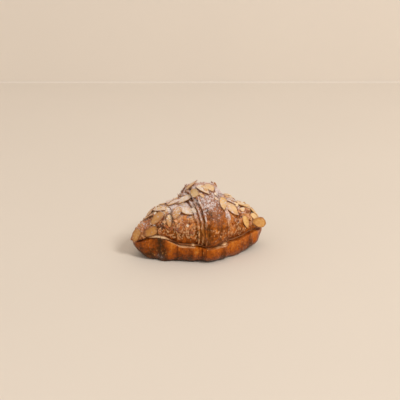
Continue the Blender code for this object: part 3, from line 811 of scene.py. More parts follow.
def add_piece(name, points, faces, masks, material):
    """A mesh object at the origin, with its masks as point attributes."""
    made = mesh_object(name, points, faces, material)
    for label, values in masks.items():
        attribute = made.data.attributes.new(label, "FLOAT", "POINT")
        attribute.data.foreach_set("value", values.astype(np.float32).ravel())
    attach(made, "root")
    return made


def add_loft(name, rings, masks, material):
    """A piece lofted over closed rings, with masks that are given by ring too."""
    masks = {label: with_poles(mask) for label, mask in masks.items()}
    faces = loft_faces(*rings.shape[:2])
    return add_piece(name, with_poles(rings), faces, masks, material)


# ---- plates on the crust


def plate_rings(outline, thickness, rim):
    """A thin plate's rings, from its top middle over its rim to its bottom middle: the
    outline, scaled by a share that goes out and comes back, at a height that follows a
    half circle round the rim. Returns (rings by outline by (x, y, z), rim mask)."""
    inner = np.array(PLATE_RINGS)
    turn = np.radians(np.linspace(90.0, -90.0, 7))
    share = np.concatenate([inner, 1.0 - rim + rim * np.cos(turn), inner[::-1]])
    flat = np.ones(len(inner))
    rings = np.empty((len(share), len(outline), 3))
    rings[..., :2] = share[:, None, None] * outline
    rings[..., 2] = np.concatenate([flat, np.sin(turn), -flat])[:, None] * thickness / 2.0
    return rings, clipped((share - 0.85) / 0.10)


def almond_outline(length, width, draw):
    """A flaked almond's outline: x is a cosine and y a sine times a power of the half
    angle's sine, so it is round at -X and pointed at +X. Three waves bend it."""
    angle = np.linspace(0.0, math.tau, FLAKE_SIDES, endpoint=False)
    wave = np.ones(FLAKE_SIDES)
    for count, tall in FLAKE_WAVES:
        wave += tall * np.sin(count * angle + draw.uniform(0.0, 6.0))
    x = np.cos(angle) * length / 2.0
    drawn = np.abs(np.sin(angle / 2.0)) ** FLAKE_DRAWN
    y = np.sin(angle) * drawn * width * FLAKE_FULLNESS
    return np.stack([x * wave, y * wave], axis=-1)


def nearest_below(trees, start, direction, reach):
    """The first point that a ray meets on any of the surfaces, and the normal there."""
    best = None
    for tree in trees:
        place, normal, _, distance = tree.ray_cast(start, direction, reach)
        if place is not None and (best is None or distance < best[2]):
            best = (place, normal, distance)
    return best


def crust_below(trees, hit, normal, run, across, length, width):
    """Heights of the crust over a plane, under a grid of points within a flake."""
    found = []
    for a in RAYS_ALONG * length:
        for b in RAYS_ACROSS * width:
            if math.hypot(a / length, b / width) > RAYS_WITHIN:
                continue
            start = hit + run * a + across * b
            below = nearest_below(trees, start + normal * RAY_START, -normal, 2.0 * RAY_START)
            if below is not None:
                found.append((a, b, (below[0] - start).dot(normal)))
    return np.array(found)


def turned(one, other, angle):
    """Two axes at right angles, turned together by an angle, the first to the other."""
    cosine, sine = np.cos(angle), np.sin(angle)
    return one * cosine + other * sine, other * cosine - one * sine


def seated(trees, x, turn, heading, length, width, tip_up, edge_up):
    """Where a flake lies: its middle and its axes (along, across and out of it). It takes
    the plane that best fits what is under it, is tipped by its own angles, and comes down
    until it is set FLAKE_SINK deep into the highest point there."""
    outward_axis = Vector((0.0, -math.cos(turn), math.sin(turn)))
    around = Vector((0.0, math.sin(turn), math.cos(turn)))
    middle = Vector((x, 0.0, float(cut_height(np.array([x]))[0]) + AXIS_OVER_CUT))
    start = middle + outward_axis * AXIS_REACH
    hit, normal, _ = nearest_below(trees[:1], start, -outward_axis, 2.0 * AXIS_REACH)
    run = Vector((1.0, 0.0, 0.0)) * math.cos(heading) + around * math.sin(heading)
    run = (run - normal * run.dot(normal)).normalized()
    for _ in range(2):
        across = normal.cross(run)
        found = crust_below(trees, hit, normal, run, across, length, width)
        terms = np.column_stack([found[:, 0], found[:, 1], np.ones(len(found))])
        rise, roll, _ = np.linalg.lstsq(terms, found[:, 2], rcond=None)[0]
        normal = (normal - run * float(rise) - across * float(roll)).normalized()
        run = (run - normal * run.dot(normal)).normalized()
    across = normal.cross(run)
    run, normal = turned(run, normal, tip_up)
    across, normal = turned(across, normal, edge_up)
    found = crust_below(trees, hit, normal, run, across, length, width)
    out = float(found[:, 2].max()) - FLAKE_SINK + FLAKE_THICKNESS / 2.0
    return hit + normal * out, run, across, normal


def scattered_flakes():
    """Flakes strewn behind the ridge by the solids' own rule, no two of them closer than
    SCATTER_SPACING, each with how toasted it is."""
    draw = random.Random(SCATTER_SEED)
    strewn = []
    while len(strewn) < len(SCATTERED_TOASTS):
        x, turn = draw.uniform(*SCATTER_STATIONS), draw.uniform(*SCATTER_TURNS)
        others = [(x - one[0], (turn - one[1]) * SCATTER_PER_DEGREE) for one in strewn]
        if all(math.hypot(*apart) > 1000.0 * SCATTER_SPACING for apart in others):
            length = draw.uniform(*SCATTER_LENGTHS)
            width = length * SCATTER_WIDTH
            heading = draw.uniform(-180.0, 180.0)
            tip_up, edge_up = draw.uniform(*SCATTER_TIPS), draw.uniform(*SCATTER_EDGES)
            strewn.append((x, turn, heading, length, width, tip_up, edge_up))
    return tuple(flake + (toast,) for flake, toast in zip(strewn, SCATTERED_TOASTS))


@functools.lru_cache(maxsize=None)
def flaked_almond_surfaces():
    """Every flake's rings of points, masks and place, each seated on the crust and on the
    flakes before it. A flake's ends bend down, its sides cup and it twists a little."""
    coarse = top_crust_surface()[0][::2, ::2]
    quads, _ = loft_faces(*coarse.shape[:2])
    quads = quads[(quads[:, 2] % coarse.shape[1]) != 0]
    trees = [BVHTree.FromPolygons(coarse.reshape(-1, 3).tolist(), quads.tolist())]
    made = []
    for number, flake in enumerate(FLAKES + scattered_flakes()):
        x, turn, heading, length, width, tip_up, edge_up, tone = flake
        x, length, width = x / 1000.0, length / 1000.0, width / 1000.0
        turn, heading, tip_up, edge_up = map(math.radians, (turn, heading, tip_up, edge_up))
        draw = random.Random(FLAKE_SEED + number)
        place, *axes = map(np.array, seated(
            trees, x, turn, heading, length, width, tip_up, edge_up))
        outline = almond_outline(length, width, draw)
        rings, rim = plate_rings(outline, FLAKE_THICKNESS * FLAKE_BODY, FLAKE_RIM)
        end, side = 2.0 * rings[..., 0] / length, 2.0 * rings[..., 1] / width
        cup, twist = draw.uniform(*FLAKE_CUP), draw.uniform(*FLAKE_TWIST)
        rings[..., 2] += cup * side**2 - FLAKE_BEND * end**2 + twist * end * side
        toast = tone + 0.10 * end + 0.26 * np.hypot(end, side) ** 3
        split = bell(side, 0.08 * end, 0.045) * (np.abs(end) < 0.7)
        masks = {
            "rim": np.broadcast_to(rim[:, None], toast.shape) * draw.uniform(0.55, 1.0),
            "split": split * draw.uniform(0.0, 0.8),
            "toast": clipped(toast + draw.uniform(-0.20, 0.20) * side),
        }
        surface = rings @ np.array(axes) + place
        made.append((surface, masks, (place, np.array(axes), length, width)))
        faces = face_list(loft_faces(*surface.shape[:2]))
        trees.append(BVHTree.FromPolygons(with_poles(surface).tolist(), faces))
    return made


@functools.lru_cache(maxsize=None)
def crust_by_flakes():
    """How close the top crust's points are to a flake's rim, as a bell curve over their
    elliptical distance from its middle, which paints shade on the crust round each flake,
    and whether they lie under a flake."""
    points = top_crust_surface()[0]
    beside, under = np.zeros((2, *points.shape[:-1]))
    for _, _, (place, axes, length, width) in flaked_almond_surfaces():
        local = (points - place) @ axes.T
        ellipse = np.hypot(2.0 * local[..., 0] / length, 2.0 * local[..., 1] / (width * 1.05))
        level = bell(local[..., 2], 0.0, SHADE_HEIGHT)
        shade = bell(np.maximum(ellipse, SHADE_START), SHADE_START, SHADE_WIDTH)
        beside = np.maximum(beside, shade * level)
        under = np.maximum(under, (ellipse < 1.0) * (level > 0.2))
    return beside, under


# ---- strewn pieces


def resting_places(points, weight):
    """The places of a grid of points where small things may lie, as (places, axes along,
    across and out of the surface, chances). A chance is the weight times the area."""
    along_it, across_it = np.gradient(points, axis=(0, 1))
    area = np.linalg.norm(np.cross(along_it, across_it), axis=-1)
    normal = outward(points)
    run = unit_length(along_it - normal * (along_it * normal).sum(axis=-1, keepdims=True))
    axes = np.stack([run, np.cross(normal, run), normal], axis=-2)
    return points.reshape(-1, 3), axes.reshape(-1, 3, 3), (weight * area).ravel()


def crumbly_places(weight):
    """The resting places on the top crust that are above its widest part and clear of the
    flakes."""
    points = top_crust_surface()[0]
    clear = 1.0 - crust_by_flakes()[1]
    high = smooth_step(points[..., 2], *SCRAPS_ABOVE)
    return resting_places(points, weight * clear * high)


def drawn_places(places, count, draw, spread):
    """Some of the resting places at random, as (index, place, axes), with the axes turned
    round the normal by up to the spread, or by a quarter turn more."""
    points, axes, chance = places
    picked = draw.choice(len(chance), size=count, p=chance / chance.sum())
    turn = draw.uniform(-spread, spread, count) + math.pi / 2 * draw.integers(0, 2, count)
    run, across, normal = np.moveaxis(axes[picked], 1, 0)
    return picked, points[picked], np.stack([*turned(run, across, turn[:, None]), normal], 1)


def strewn_plates(places, count, sizes, thickness, curl, lift, seed):
    """Thin plates with jagged outlines, as one array of points by plate: an ellipse whose
    radius is drawn anew at each corner, curled across, bent along, and tipped up by an
    angle about its own length. Returns the points, the faces and the places' indices."""
    draw = np.random.default_rng(seed)
    picked, place, axes = drawn_places(places, count, draw, PLATE_HEADING)
    angle = np.arange(PLATE_CORNERS) * math.tau / PLATE_CORNERS
    jag = 1.0 + draw.uniform(-PLATE_JAG, PLATE_JAG, (count, PLATE_CORNERS))
    halves = [draw.uniform(*size, (count, 1)) for size in sizes]
    outline = np.stack([halves[0] * np.cos(angle) * jag, halves[1] * np.sin(angle) * jag], -1)
    unit, _ = plate_rings(np.ones((1, 2)), thickness, PLATE_RIM)
    local = np.empty((count, len(unit), PLATE_CORNERS, 3))
    local[..., :2] = unit[..., :2] * outline[:, None]
    curled = draw.uniform(*curl, (count, 1, 1)) * local[..., 1] ** 2
    local[..., 2] = unit[..., 2] + curled - PLATE_BEND * local[..., 0] ** 2
    tip = draw.uniform(*PLATE_TIP, (count, 1, 1)) * lift
    tip *= draw.choice((-1.0, 1.0), (count, 1, 1))
    local[..., 2], local[..., 1] = turned(local[..., 2], local[..., 1], tip)
    local[..., 2] += thickness * 0.5
    placed = np.einsum("nrak,nkj->nraj", local, axes) + place[:, None, None, :]
    poles = np.stack([placed[:, 0].mean(axis=1), placed[:, -1].mean(axis=1)], axis=1)
    whole = np.concatenate([placed.reshape(count, -1, 3), poles], axis=1)
    return whole, copies(whole[0], loft_faces(len(unit), PLATE_CORNERS), count), picked


def small_lump(rings, around):
    """A unit ball in a few faces: rings of latitude between two poles, along -Z."""
    latitude = np.radians(90.0 - 180.0 * np.arange(1, rings + 1) / (rings + 1))[:, None]
    longitude = np.arange(around) * math.tau / around + 0.5 * np.arange(rings)[:, None]
    latitude, longitude = np.broadcast_arrays(latitude, longitude)
    flat = [np.cos(latitude) * np.cos(longitude), np.cos(latitude) * np.sin(longitude)]
    ball = np.stack([*flat, np.sin(latitude)], axis=-1).reshape(-1, 3)
    return np.concatenate([ball, [[0.0, 0.0, 1.0], [0.0, 0.0, -1.0]]]), loft_faces(rings, around)


def strewn_lumps(places, count, shape, radius, sink, seed):
    """Copies of one small lump, each turned, stretched and dented at random, and set into
    the surface by a share of its radius. Returns points, faces and places' indices."""
    draw = np.random.default_rng(seed)
    picked, place, axes = drawn_places(places, count, draw, LUMP_HEADING)
    unit, faces = small_lump(*shape)
    size = radius * np.exp(draw.normal(0.0, LUMP_SPREAD, (count, 1, 1)))
    stretched = draw.uniform(*LUMP_STRETCH, (count, 1, 3)) * size
    dented = 1.0 + draw.uniform(-LUMP_DENT, LUMP_DENT, (count, len(unit), 1))
    lump = unit * dented * stretched
    lump[..., 2] += size[..., 0] * (1.0 - sink)
    lump[..., :2] += draw.uniform(-LUMP_STRAY, LUMP_STRAY, (count, 1, 2))
    placed = np.einsum("npk,nkj->npj", lump, axes) + place[:, None, :]
    return placed, copies(unit, faces, count), picked


def add_scraps(name, made, material, toward_pale, seed):
    """Adds strewn plates or lumps as one piece, each as baked and as sugary as the crust
    under it, and somewhat paler or darker than it."""
    points, faces, picked = made
    masks = top_crust_surface()[2]
    draw = np.random.default_rng(seed)
    bake = masks["bake"].ravel()[picked] - toward_pale
    bake += draw.uniform(*SCRAPS_VARY, len(picked))
    fields = {"bake": clipped(bake), "sugar": 0.9 * masks["sugar"].ravel()[picked]}
    fields = {label: np.repeat(values, points.shape[1]) for label, values in fields.items()}
    return add_piece(name, points, faces, fields, material)


# ---- materials


def connect(socket, value):
    """Links a wire to an input, or sets the input's own value."""
    if isinstance(value, Wire):
        socket.id_data.links.new(value.socket, socket)
    else:
        socket.default_value = value


def add_node(tree, kind, inputs=(), output=0, **settings):
    """A new shader node, as a wire from one of its outputs."""
    node = tree.nodes.new("ShaderNode" + kind)
    row, column = divmod(len(tree.nodes), 12)
    node.location = (200.0 * column, -260.0 * row)
    for name, value in settings.items():
        setattr(node, name, value)
    for name, value in dict(inputs).items():
        connect(node.inputs[name], value)
    return Wire(node.outputs[output])


class Wire:
    """A node's output. What is done with it adds nodes to its tree: sums and products,
    textures at a place, and mixtures of colours or values."""

    def __init__(self, socket):
        self.socket = socket

    def node(self, kind, inputs=(), output=0, **settings):
        """A new node in the same tree."""
        return add_node(self.socket.id_data, kind, inputs, output, **settings)

    def math(self, operation, *others):
        """A Math node with this as its first input."""
        return self.node("Math", enumerate((self, *others)), operation=operation)

    def __add__(self, other):
        return self.math("ADD", other)

    def __mul__(self, other):
        return self.math("MULTIPLY", other)

    __rmul__ = __mul__

    def __rsub__(self, other):
        return self.math("MULTIPLY_ADD", -1.0, other)

    def swing(self, amount):
        """A value from 0 to 1 made to swing about 0 by an amount."""
        return self.math("MULTIPLY_ADD", amount, -amount / 2.0)

    def step(self, start, end):
        """An S curve from 0 at start to 1 at end."""
        inputs = {"Value": self, "From Min": start, "From Max": end}
        return self.node("MapRange", inputs, interpolation_type="SMOOTHSTEP")

    def mask(self, name):
        """The piece's own attribute of that name."""
        return self.node("Attribute", output="Fac", attribute_name=name)

    def stretched(self, scale):
        """A place times a scale, so that what is put there is stretched by its inverse."""
        return self.node("Mapping", {"Vector": self, "Scale": scale})

    def noise(self, size, detail=3.0, roughness=0.55, output=0):
        """Noise from 0 to 1 at this place, in lumps of a size in metres."""
        inputs = {"Vector": self, "Scale": 1.0 / size, "Detail": detail, "Roughness": roughness}
        return self.node("TexNoise", inputs, output)

    def cells(self, size, output=0):
        """Distance from the middle of the nearest cell, or the cell's own colour."""
        return self.node("TexVoronoi", {"Vector": self, "Scale": 1.0 / size}, output)

    def parts(self):
        """A colour's red, green and blue."""
        red = self.node("SeparateColor", {"Color": self})
        return [Wire(socket) for socket in red.socket.node.outputs]

    def tinted(self, tint):
        """A colour or a place times another, part by part."""
        return self.node("VectorMath", {0: self, 1: tint}, operation="MULTIPLY")

    def mixed(self, share, other):
        """This colour or value turned into another one by a share."""
        if self.socket.type == "VALUE":
            return self.node("Mix", {0: share, 2: self, 3: other}, data_type="FLOAT")
        other = other if isinstance(other, Wire) else (*other, 1.0)
        return self.node("Mix", {0: share, 6: self, 7: other}, 2, data_type="RGBA")

    def ramp(self, *stops):
        """Colours by value, each stop with its place and its colour."""
        made = self.node("ValToRGB", {"Fac": self})
        elements = made.socket.node.color_ramp.elements
        while len(elements) < len(stops):
            elements.new(1.0)
        for element, (place, colour) in zip(elements, stops):
            element.position = place
            element.color = (*colour, 1.0)
        return made


def shared_group(name, **inputs):
    """Turns a function that works out a group's outputs, from its place and its inputs,
    into one that puts the group, built once, in a place's tree and returns its outputs."""

    def built(fill):
        tree = bpy.data.node_groups.new(name, "ShaderNodeTree")
        for label, default in inputs.items():
            socket = tree.interface.new_socket(label, in_out="INPUT", socket_type="NodeSocketFloat")
            socket.default_value = default
        given = tree.nodes.new("NodeGroupInput").outputs
        place = add_node(tree, "TexCoord", output="Object")
        results = fill(place, **{label.lower(): Wire(given[label]) for label in inputs})
        for label, wire in results.items():
            kind = "NodeSocketColor" if wire.socket.type == "RGBA" else "NodeSocketFloat"
            tree.interface.new_socket(label, in_out="OUTPUT", socket_type=kind)
        end = tree.nodes.new("NodeGroupOutput")
        end.location = (2600.0, 0.0)
        for label, wire in results.items():
            connect(end.inputs[label], wire)
        return tree

    def decorated(fill):
        @functools.wraps(fill)
        def put(place, **linked):
            tree = bpy.data.node_groups.get(name) or built(fill)
            outputs = place.node("Group", linked, node_tree=tree).socket.node.outputs
            return {output.name: Wire(output) for output in outputs}

        return put

    return decorated


@shared_group("Baked skin", Bake=0.5, Flecks=0.3, Streaks=0.25)
def baked_skin(place, bake, flecks, streaks):
    """Browned crust: slow and fine mottling, thin chips and lines round the roll shift how
    far it is baked, which sets its colour, and pale chips lie on it, partly thin scales of
    crust and partly painted glints. Heights are millimetres."""
    crust = bpy.context.scene.croissant_crust
    broad = place.noise(0.0100)
    middle = place.noise(0.0036, 3.0, 0.5)
    fine = place.noise(0.0014, 4.0, 0.6)
    grain = place.noise(0.0005, 2.0)
    lines = place.stretched((1.0, 0.14, 0.14)).noise(0.0018, 3.0, 0.5)
    dome = place.cells(0.0023).step(0.75, 0.10)
    bend = place.noise(0.0028, 3.0, 0.5, "Color")
    bent = {0: bend, 1: (0.0038, 0.0038, 0.0038), 2: place}
    bent = place.node("VectorMath", bent, operation="MULTIPLY_ADD")
    drawn, shade, _ = bent.stretched((1.0, 0.7, 0.7)).cells(0.0013, "Color").parts()
    small = bent.cells(0.0007, "Color").parts()[0]
    chip = 0.78 * drawn + 0.22 * small + flecks.swing(0.75) + fine.swing(0.45)
    chip = chip.step(0.58, 0.66)
    bake = bake + broad.swing(0.40) + middle.swing(0.45) + fine.swing(0.45) + grain.swing(0.15)
    bake = bake + shade.swing(0.20) + lines.swing(1.0) * streaks
    colour = bake.ramp(
        (0.02, crust.pale), (0.27, crust.golden), (0.50, crust.amber), (0.76, crust.brown),
        (1.0, crust.burnt),
    )
    height = 0.70 * middle + 0.45 * fine + 0.08 * grain + 0.16 * lines
    return {
        "Colour": colour.mixed(chip * (middle.swing(1.2) + 0.55), crust.fleck),
        "Roughness": fine.swing(0.40) + 0.20 * chip + 0.31,
        "Height": height + 0.15 * dome + 0.13 * chip + 0.06 * shade,
    }


@shared_group("Icing sugar", Density=0.3)
def icing_sugar(place, density):
    """Icing sugar: clumps and specks that cover more of the surface as the density
    grows. Heights are millimetres."""
    clumps = place.noise(0.0026, 2.0, 0.6).swing(1.10) + place.noise(0.0012, 2.0, 0.5).swing(1.50)
    specks = place.noise(0.00062, 2.0, 0.6).swing(1.30)
    mask = (density + clumps + specks).step(0.54, 0.74).math("MAXIMUM", 0.20 * density)
    return {"Mask": mask, "Height": 0.14 * mask}


@shared_group("Open crumb")
def open_crumb(place):
    """Open crumb, where a sheet of dough is torn or cut: small dark pores between pale
    walls. Heights are millimetres."""
    wall = place.tinted((1.0, 1.0, 1.6)).cells(0.0013).step(0.10, 0.55)
    fine = place.noise(0.0008)
    return {"Tone": 0.6 * wall + fine.swing(0.5) + 0.25, "Height": 0.22 * wall + 0.1 * fine}


def new_material(name):
    """A material, and a wire from the place on the object."""
    material = bpy.data.materials.new(name)
    material.use_nodes = True
    return material, add_node(material.node_tree, "TexCoord", output="Object")


def finish_material(material, height, inputs):
    """Gives the shader its inputs, and its normals from a height in millimetres."""
    shader = material.node_tree.nodes["Principled BSDF"]
    shader.location = (2900.0, 0.0)
    if height is not None:
        bump = {"Height": height, "Distance": 0.001, "Strength": 1.0}
        inputs = {**inputs, "Normal": height.node("Bump", bump)}
    for name, value in inputs.items():
        connect(shader.inputs[name], value)
    return material


def dusted(place, colour, rough, share):
    """A colour and a roughness with icing sugar over them, where the piece's own mask has
    it, the sugar's height, and how white it makes each place."""
    dust = icing_sugar(place, Density=place.mask("sugar"))
    white = share * dust["Mask"]
    colour = colour.mixed(white, bpy.context.scene.croissant_sugar.colour)
    return colour, rough.mixed(white, 0.90), dust["Height"], white


def crust_material(name, tint, streaks, gloss):
    """Baked crust: browned skin, tinted, baked cream on it, open crumb where it is cut,
    pale edges of the laminations, painted shade in their creases and wherever the crease
    mask has it, and icing sugar over all."""
    crust = bpy.context.scene.croissant_crust
    material, place = new_material(name)
    masks = {"Bake": place.mask("bake"), "Flecks": place.mask("flecks"), "Streaks": streaks}
    skin = baked_skin(place, **masks)
    crumb = open_crumb(place)
    patch = place.noise(0.0016)
    on_skin = (place.mask("skin") + patch.swing(0.9)).step(0.45, 0.80)
    cream = patch.ramp((0.30, crust.amber), (0.50, crust.baked_cream), (0.8, crust.pale))
    colour = skin["Colour"].tinted(tint).mixed(0.75 * on_skin, cream)
    lip = (place.mask("lip") + patch.swing(0.7)).step(0.40, 0.90)
    colour = colour.mixed(0.88 * lip, crust.pale)
    colour = colour.mixed(0.38 * place.mask("layers").step(0.12, 0.55), crust.golden)
    inside = (place.mask("crumb") + patch.swing(0.5)).step(0.35, 0.75)
    tone = crumb["Tone"].ramp((0.15, crust.amber), (0.45, crust.golden), (0.8, crust.crumb))
    colour = colour.mixed(inside, tone)
    # painted shade: the crease mask darkens the colour towards burnt in creases, pits and folds,
    # round the flakes and at the foot
    colour = colour.mixed(0.78 * place.mask("crease").step(0.25, 0.95), crust.burnt)
    rough = skin["Roughness"].mixed(inside, 0.80)
    colour, rough, dust_height, white = dusted(place, colour, rough, 0.86)
    height = skin["Height"].mixed(inside, crumb["Height"]) + dust_height + 0.10 * on_skin
    return finish_material(material, height, {
        "Base Color": colour, "Roughness": rough, "Coat Roughness": 0.14,
        "Coat Weight": (gloss * crust.gloss) * (1.0 - white),
        "Specular IOR Level": 0.60, "Specular Tint": SPECULAR_TINT,
    })


def cream_material():
    """Almond cream: pale, set and a little grainy, toasted where it stands out."""
    cream = bpy.context.scene.croissant_cream
    material, place = new_material("almond cream")
    grain = place.noise(0.0009, 4.0, 0.6)
    tone = grain.swing(0.7) + place.noise(0.0070).swing(0.5) + 0.66 * place.mask("pale") + 0.06
    colour = tone.ramp((0.15, cream.toasted), (0.50, cream.colour), (0.80, cream.pale))
    inputs = {"Base Color": colour, "Roughness": grain.swing(0.3) + 0.52}
    return finish_material(material, 0.80 * grain, inputs)


def almond_material(name):
    """Flaked almond: pale flesh with faint curved grain, toasted towards its point and
    its rim, with traces of skin along the rim and icing sugar on it."""
    almond = bpy.context.scene.croissant_almonds
    material, place = new_material(name)
    mottle = place.noise(0.0040, 4.0, 0.65)
    fine = place.noise(0.0008, 3.0, 0.6)
    bands = place.stretched((0.35, 1.0, 1.0)).noise(0.0011, 2.0)
    toast = place.mask("toast") + mottle.swing(0.60) + fine.swing(0.18) + bands.swing(0.25)
    colour = toast.ramp(
        (0.05, almond.blanched), (0.38, almond.pale), (0.66, almond.toasted), (1.0, almond.brown),
    )
    skin = (place.mask("rim") * (mottle.swing(1.6) + 0.75)).step(0.30, 0.70)
    split = (place.mask("split") + mottle.swing(0.8)).step(0.35, 0.70)
    colour = colour.mixed(0.75 * skin, almond.brown).mixed(0.45 * split, almond.toasted)
    colour, rough, dust_height, _ = dusted(place, colour, mottle.swing(0.3) + 0.46, 0.80)
    height = 0.10 * bands + 0.12 * fine + 0.15 * mottle + -0.12 * split + dust_height
    return finish_material(material, height, {
        "Base Color": colour, "Roughness": rough, "Subsurface Weight": 0.12,
        "Subsurface Radius": (1.0, 0.55, 0.25), "Subsurface Scale": 0.0008,
    })


def scrap_material(name):
    """Crumbs and loose sheets of crust: the same browning, by a tone of their own."""
    material, place = new_material(name)
    skin = baked_skin(place, Bake=place.mask("bake"))
    colour, rough, _, _ = dusted(place, skin["Colour"], skin["Roughness"], 0.80)
    inputs = {"Base Color": colour, "Roughness": rough}
    return finish_material(material, 0.6 * skin["Height"], inputs)


def sugar_material():
    """A grain of icing sugar: near white and matt, in two tones."""
    sugar = bpy.context.scene.croissant_sugar
    material, place = new_material("icing sugar")
    tone = place.noise(0.0040, 2.0)
    colour = tone.ramp((0.30, sugar.shade), (0.60, sugar.colour))
    inputs = {"Base Color": colour, "Roughness": tone.swing(0.2) + 0.80}
    return finish_material(material, None, inputs)


def backdrop_material():
    """A pale matt table and, above the corner, a wall, both barely mottled."""
    stage = bpy.context.scene.croissant_stage
    material, place = new_material("pale table")
    mottle = place.noise(0.30)
    height = place.node("SeparateXYZ", {"Vector": place}, output=2)
    table, wall = (
        mottle.ramp((0.3, [0.985 * part for part in colour]), (0.7, colour))
        for colour in (stage.table, stage.wall)
    )
    colour = table.mixed(height.step(0.002, 0.008), wall)
    rough = mottle.swing(0.05) + 0.72
    inputs = {"Base Color": colour, "Roughness": rough, "Specular IOR Level": 0.15}
    return finish_material(material, None, inputs)


# ---- settings: each has a name, what it is for, its default and its limits


def colour_setting(name, description, default):
    limits = {"min": 0.0, "max": 1.0, "size": 3, "subtype": "COLOR"}
    return FloatVectorProperty(name=name, description=description, default=default, **limits)


def number_setting(name, description, default, low, high, **kind):
    return FloatProperty(
        name=name, description=description, default=default, min=low, max=high, **kind)


def count_setting(name, description, default, most):
    return IntProperty(name=name, description=description, default=default, min=0, max=most)


LENGTH = {"subtype": "DISTANCE", "unit": "LENGTH"}
POWER = {"subtype": "POWER", "unit": "POWER"}


class CrustSettings(PropertyGroup):
    """The crust's colours, from pale to burnt, and its gloss"""

    pale: colour_setting("Pale", "Edges and thin sheets of the crust", (0.78, 0.46, 0.22))
    # The flecks are partly thin pale scales of crust and partly painted glints
    fleck: colour_setting("Fleck", "Thin pale scales on the crust", (0.80, 0.47, 0.26))
    golden: colour_setting("Golden", "Least baked crust", (0.68, 0.26, 0.045))
    amber: colour_setting("Amber", "Evenly baked crust", (0.46, 0.120, 0.009))
    brown: colour_setting("Brown", "Well baked crust", (0.21, 0.045, 0.004))
    # Burnt is also the colour of the painted shade in creases, round the flakes and at the foot
    burnt: colour_setting("Burnt", "Creases and the darkest crust", (0.045, 0.010, 0.001))
    baked_cream: colour_setting("Baked cream", "Cream baked on the ridge", (0.55, 0.33, 0.15))
    crumb: colour_setting("Crumb", "Open crumb at the slice", (0.76, 0.45, 0.24))
    gloss: number_setting(
        "Gloss", "Weight of the crust's butter gloss", 0.07, 0.0, 1.0, subtype="FACTOR")


class CreamSettings(PropertyGroup):
    """The almond cream's colours and how unevenly it stands out"""

    pale: colour_setting("Pale", "Palest almond cream", (0.80, 0.58, 0.37))
    colour: colour_setting("Cream", "Almond cream", (0.66, 0.38, 0.18))
    toasted: colour_setting("Toasted", "Almond cream that the oven reached", (0.24, 0.075, 0.012))
    bulge: number_setting(
        "Bulge", "How unevenly the cream stands out", 0.0010, 0.0, 0.002, **LENGTH)


class AlmondSettings(PropertyGroup):
    """The almonds' colours and how many broken pieces there are"""

    blanched: colour_setting("Blanched", "Flesh of an untoasted flake", (0.80, 0.56, 0.29))
    pale: colour_setting("Pale", "Lightly toasted flesh", (0.71, 0.42, 0.145))
    toasted: colour_setting("Toasted", "Toasted flesh", (0.52, 0.225, 0.036))
    brown: colour_setting("Brown", "Skin along the rim", (0.25, 0.080, 0.018))
    broken: count_setting("Broken pieces", "How many broken pieces there are", 60, 400)


class SugarSettings(PropertyGroup):
    """The icing sugar's colours and its grains"""

    colour: colour_setting("Sugar", "Icing sugar in the light", (0.78, 0.70, 0.69))
    shade: colour_setting("Damp sugar", "Icing sugar that has taken up butter", (0.62, 0.52, 0.46))
    grains: count_setting("Grains", "How many loose grains there are", 11000, 20000)
    grain_size: number_setting(
        "Grain size", "Middle radius of a grain", 0.00013, 0.00004, 0.0005, precision=5, **LENGTH)


class ScrapSettings(PropertyGroup):
    """The crumbs and the loose sheets of crust"""

    crumbs: count_setting("Crumbs", "How many crumbs there are", 900, 4000)
    shards: count_setting("Loose sheets", "How many sheets of crust peel off", 130, 600)
    lift: number_setting(
        "Lift", "How far a loose sheet is tipped up", math.radians(14.0), 0.0, 1.2,
        subtype="ANGLE")


class StageSettings(PropertyGroup):
    """The table, the wall and the light"""

    table: colour_setting("Table", "The pale table", (0.725, 0.655, 0.575))
    wall: colour_setting("Wall", "The wall behind it", (0.76, 0.685, 0.60))
    sky: colour_setting("Air", "Light from all around", (1.0, 0.93, 0.86))
    sky_strength: number_setting("Air strength", "Strength of that light", 0.68, 0.0, 5.0)
    key_power: number_setting("Key", "Power of the main light", 84.4, 0.0, 500.0, **POWER)
    fill_power: number_setting("Fill", "Power of the light from the left", 0.8, 0.0, 500.0, **POWER)
    backdrop: number_setting(
        "Backdrop", "How far behind the middle the wall is", 0.83, 0.3, 5.0, **LENGTH)


# ---- operators

UNDOABLE = {"REGISTER", "UNDO"}


class CROISSANT_OT_top_crust(Operator):
    """Builds the top half's crust from its surface formula, closed along the cut"""

    bl_idname = "croissant.top_crust"
    bl_label = "Top crust"
    bl_options = UNDOABLE

    def execute(self, context):
        points, _, masks = top_crust_surface()
        beside, _ = crust_by_flakes()
        # painted shade round the flakes: it joins the crease mask, which darkens the crust, and
        # takes sugar away
        crease = np.maximum(masks["crease"], 0.78 * beside)
        masks = {**masks, "crease": crease, "sugar": masks["sugar"] * (1.0 - 0.45 * beside)}
        inward = np.linspace(0.0, 1.0, 11)[1:-1]
        rings = np.concatenate([points, between(points[:, -1], points[:, 0], inward)], axis=1)
        values = {}
        for label in CRUST_MASKS:
            mask = masks[label]
            under = 0.3 * between(mask[:, -1], mask[:, 0], inward)
            under = np.ones_like(under) if label == "crumb" else under
            values[label] = np.concatenate([mask, under], axis=1)
        material = crust_material("top crust", *TOP_LOOK)
        crust = add_loft("top_crust", rings, values, material)
        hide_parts("top_half")
        return {"FINISHED"}


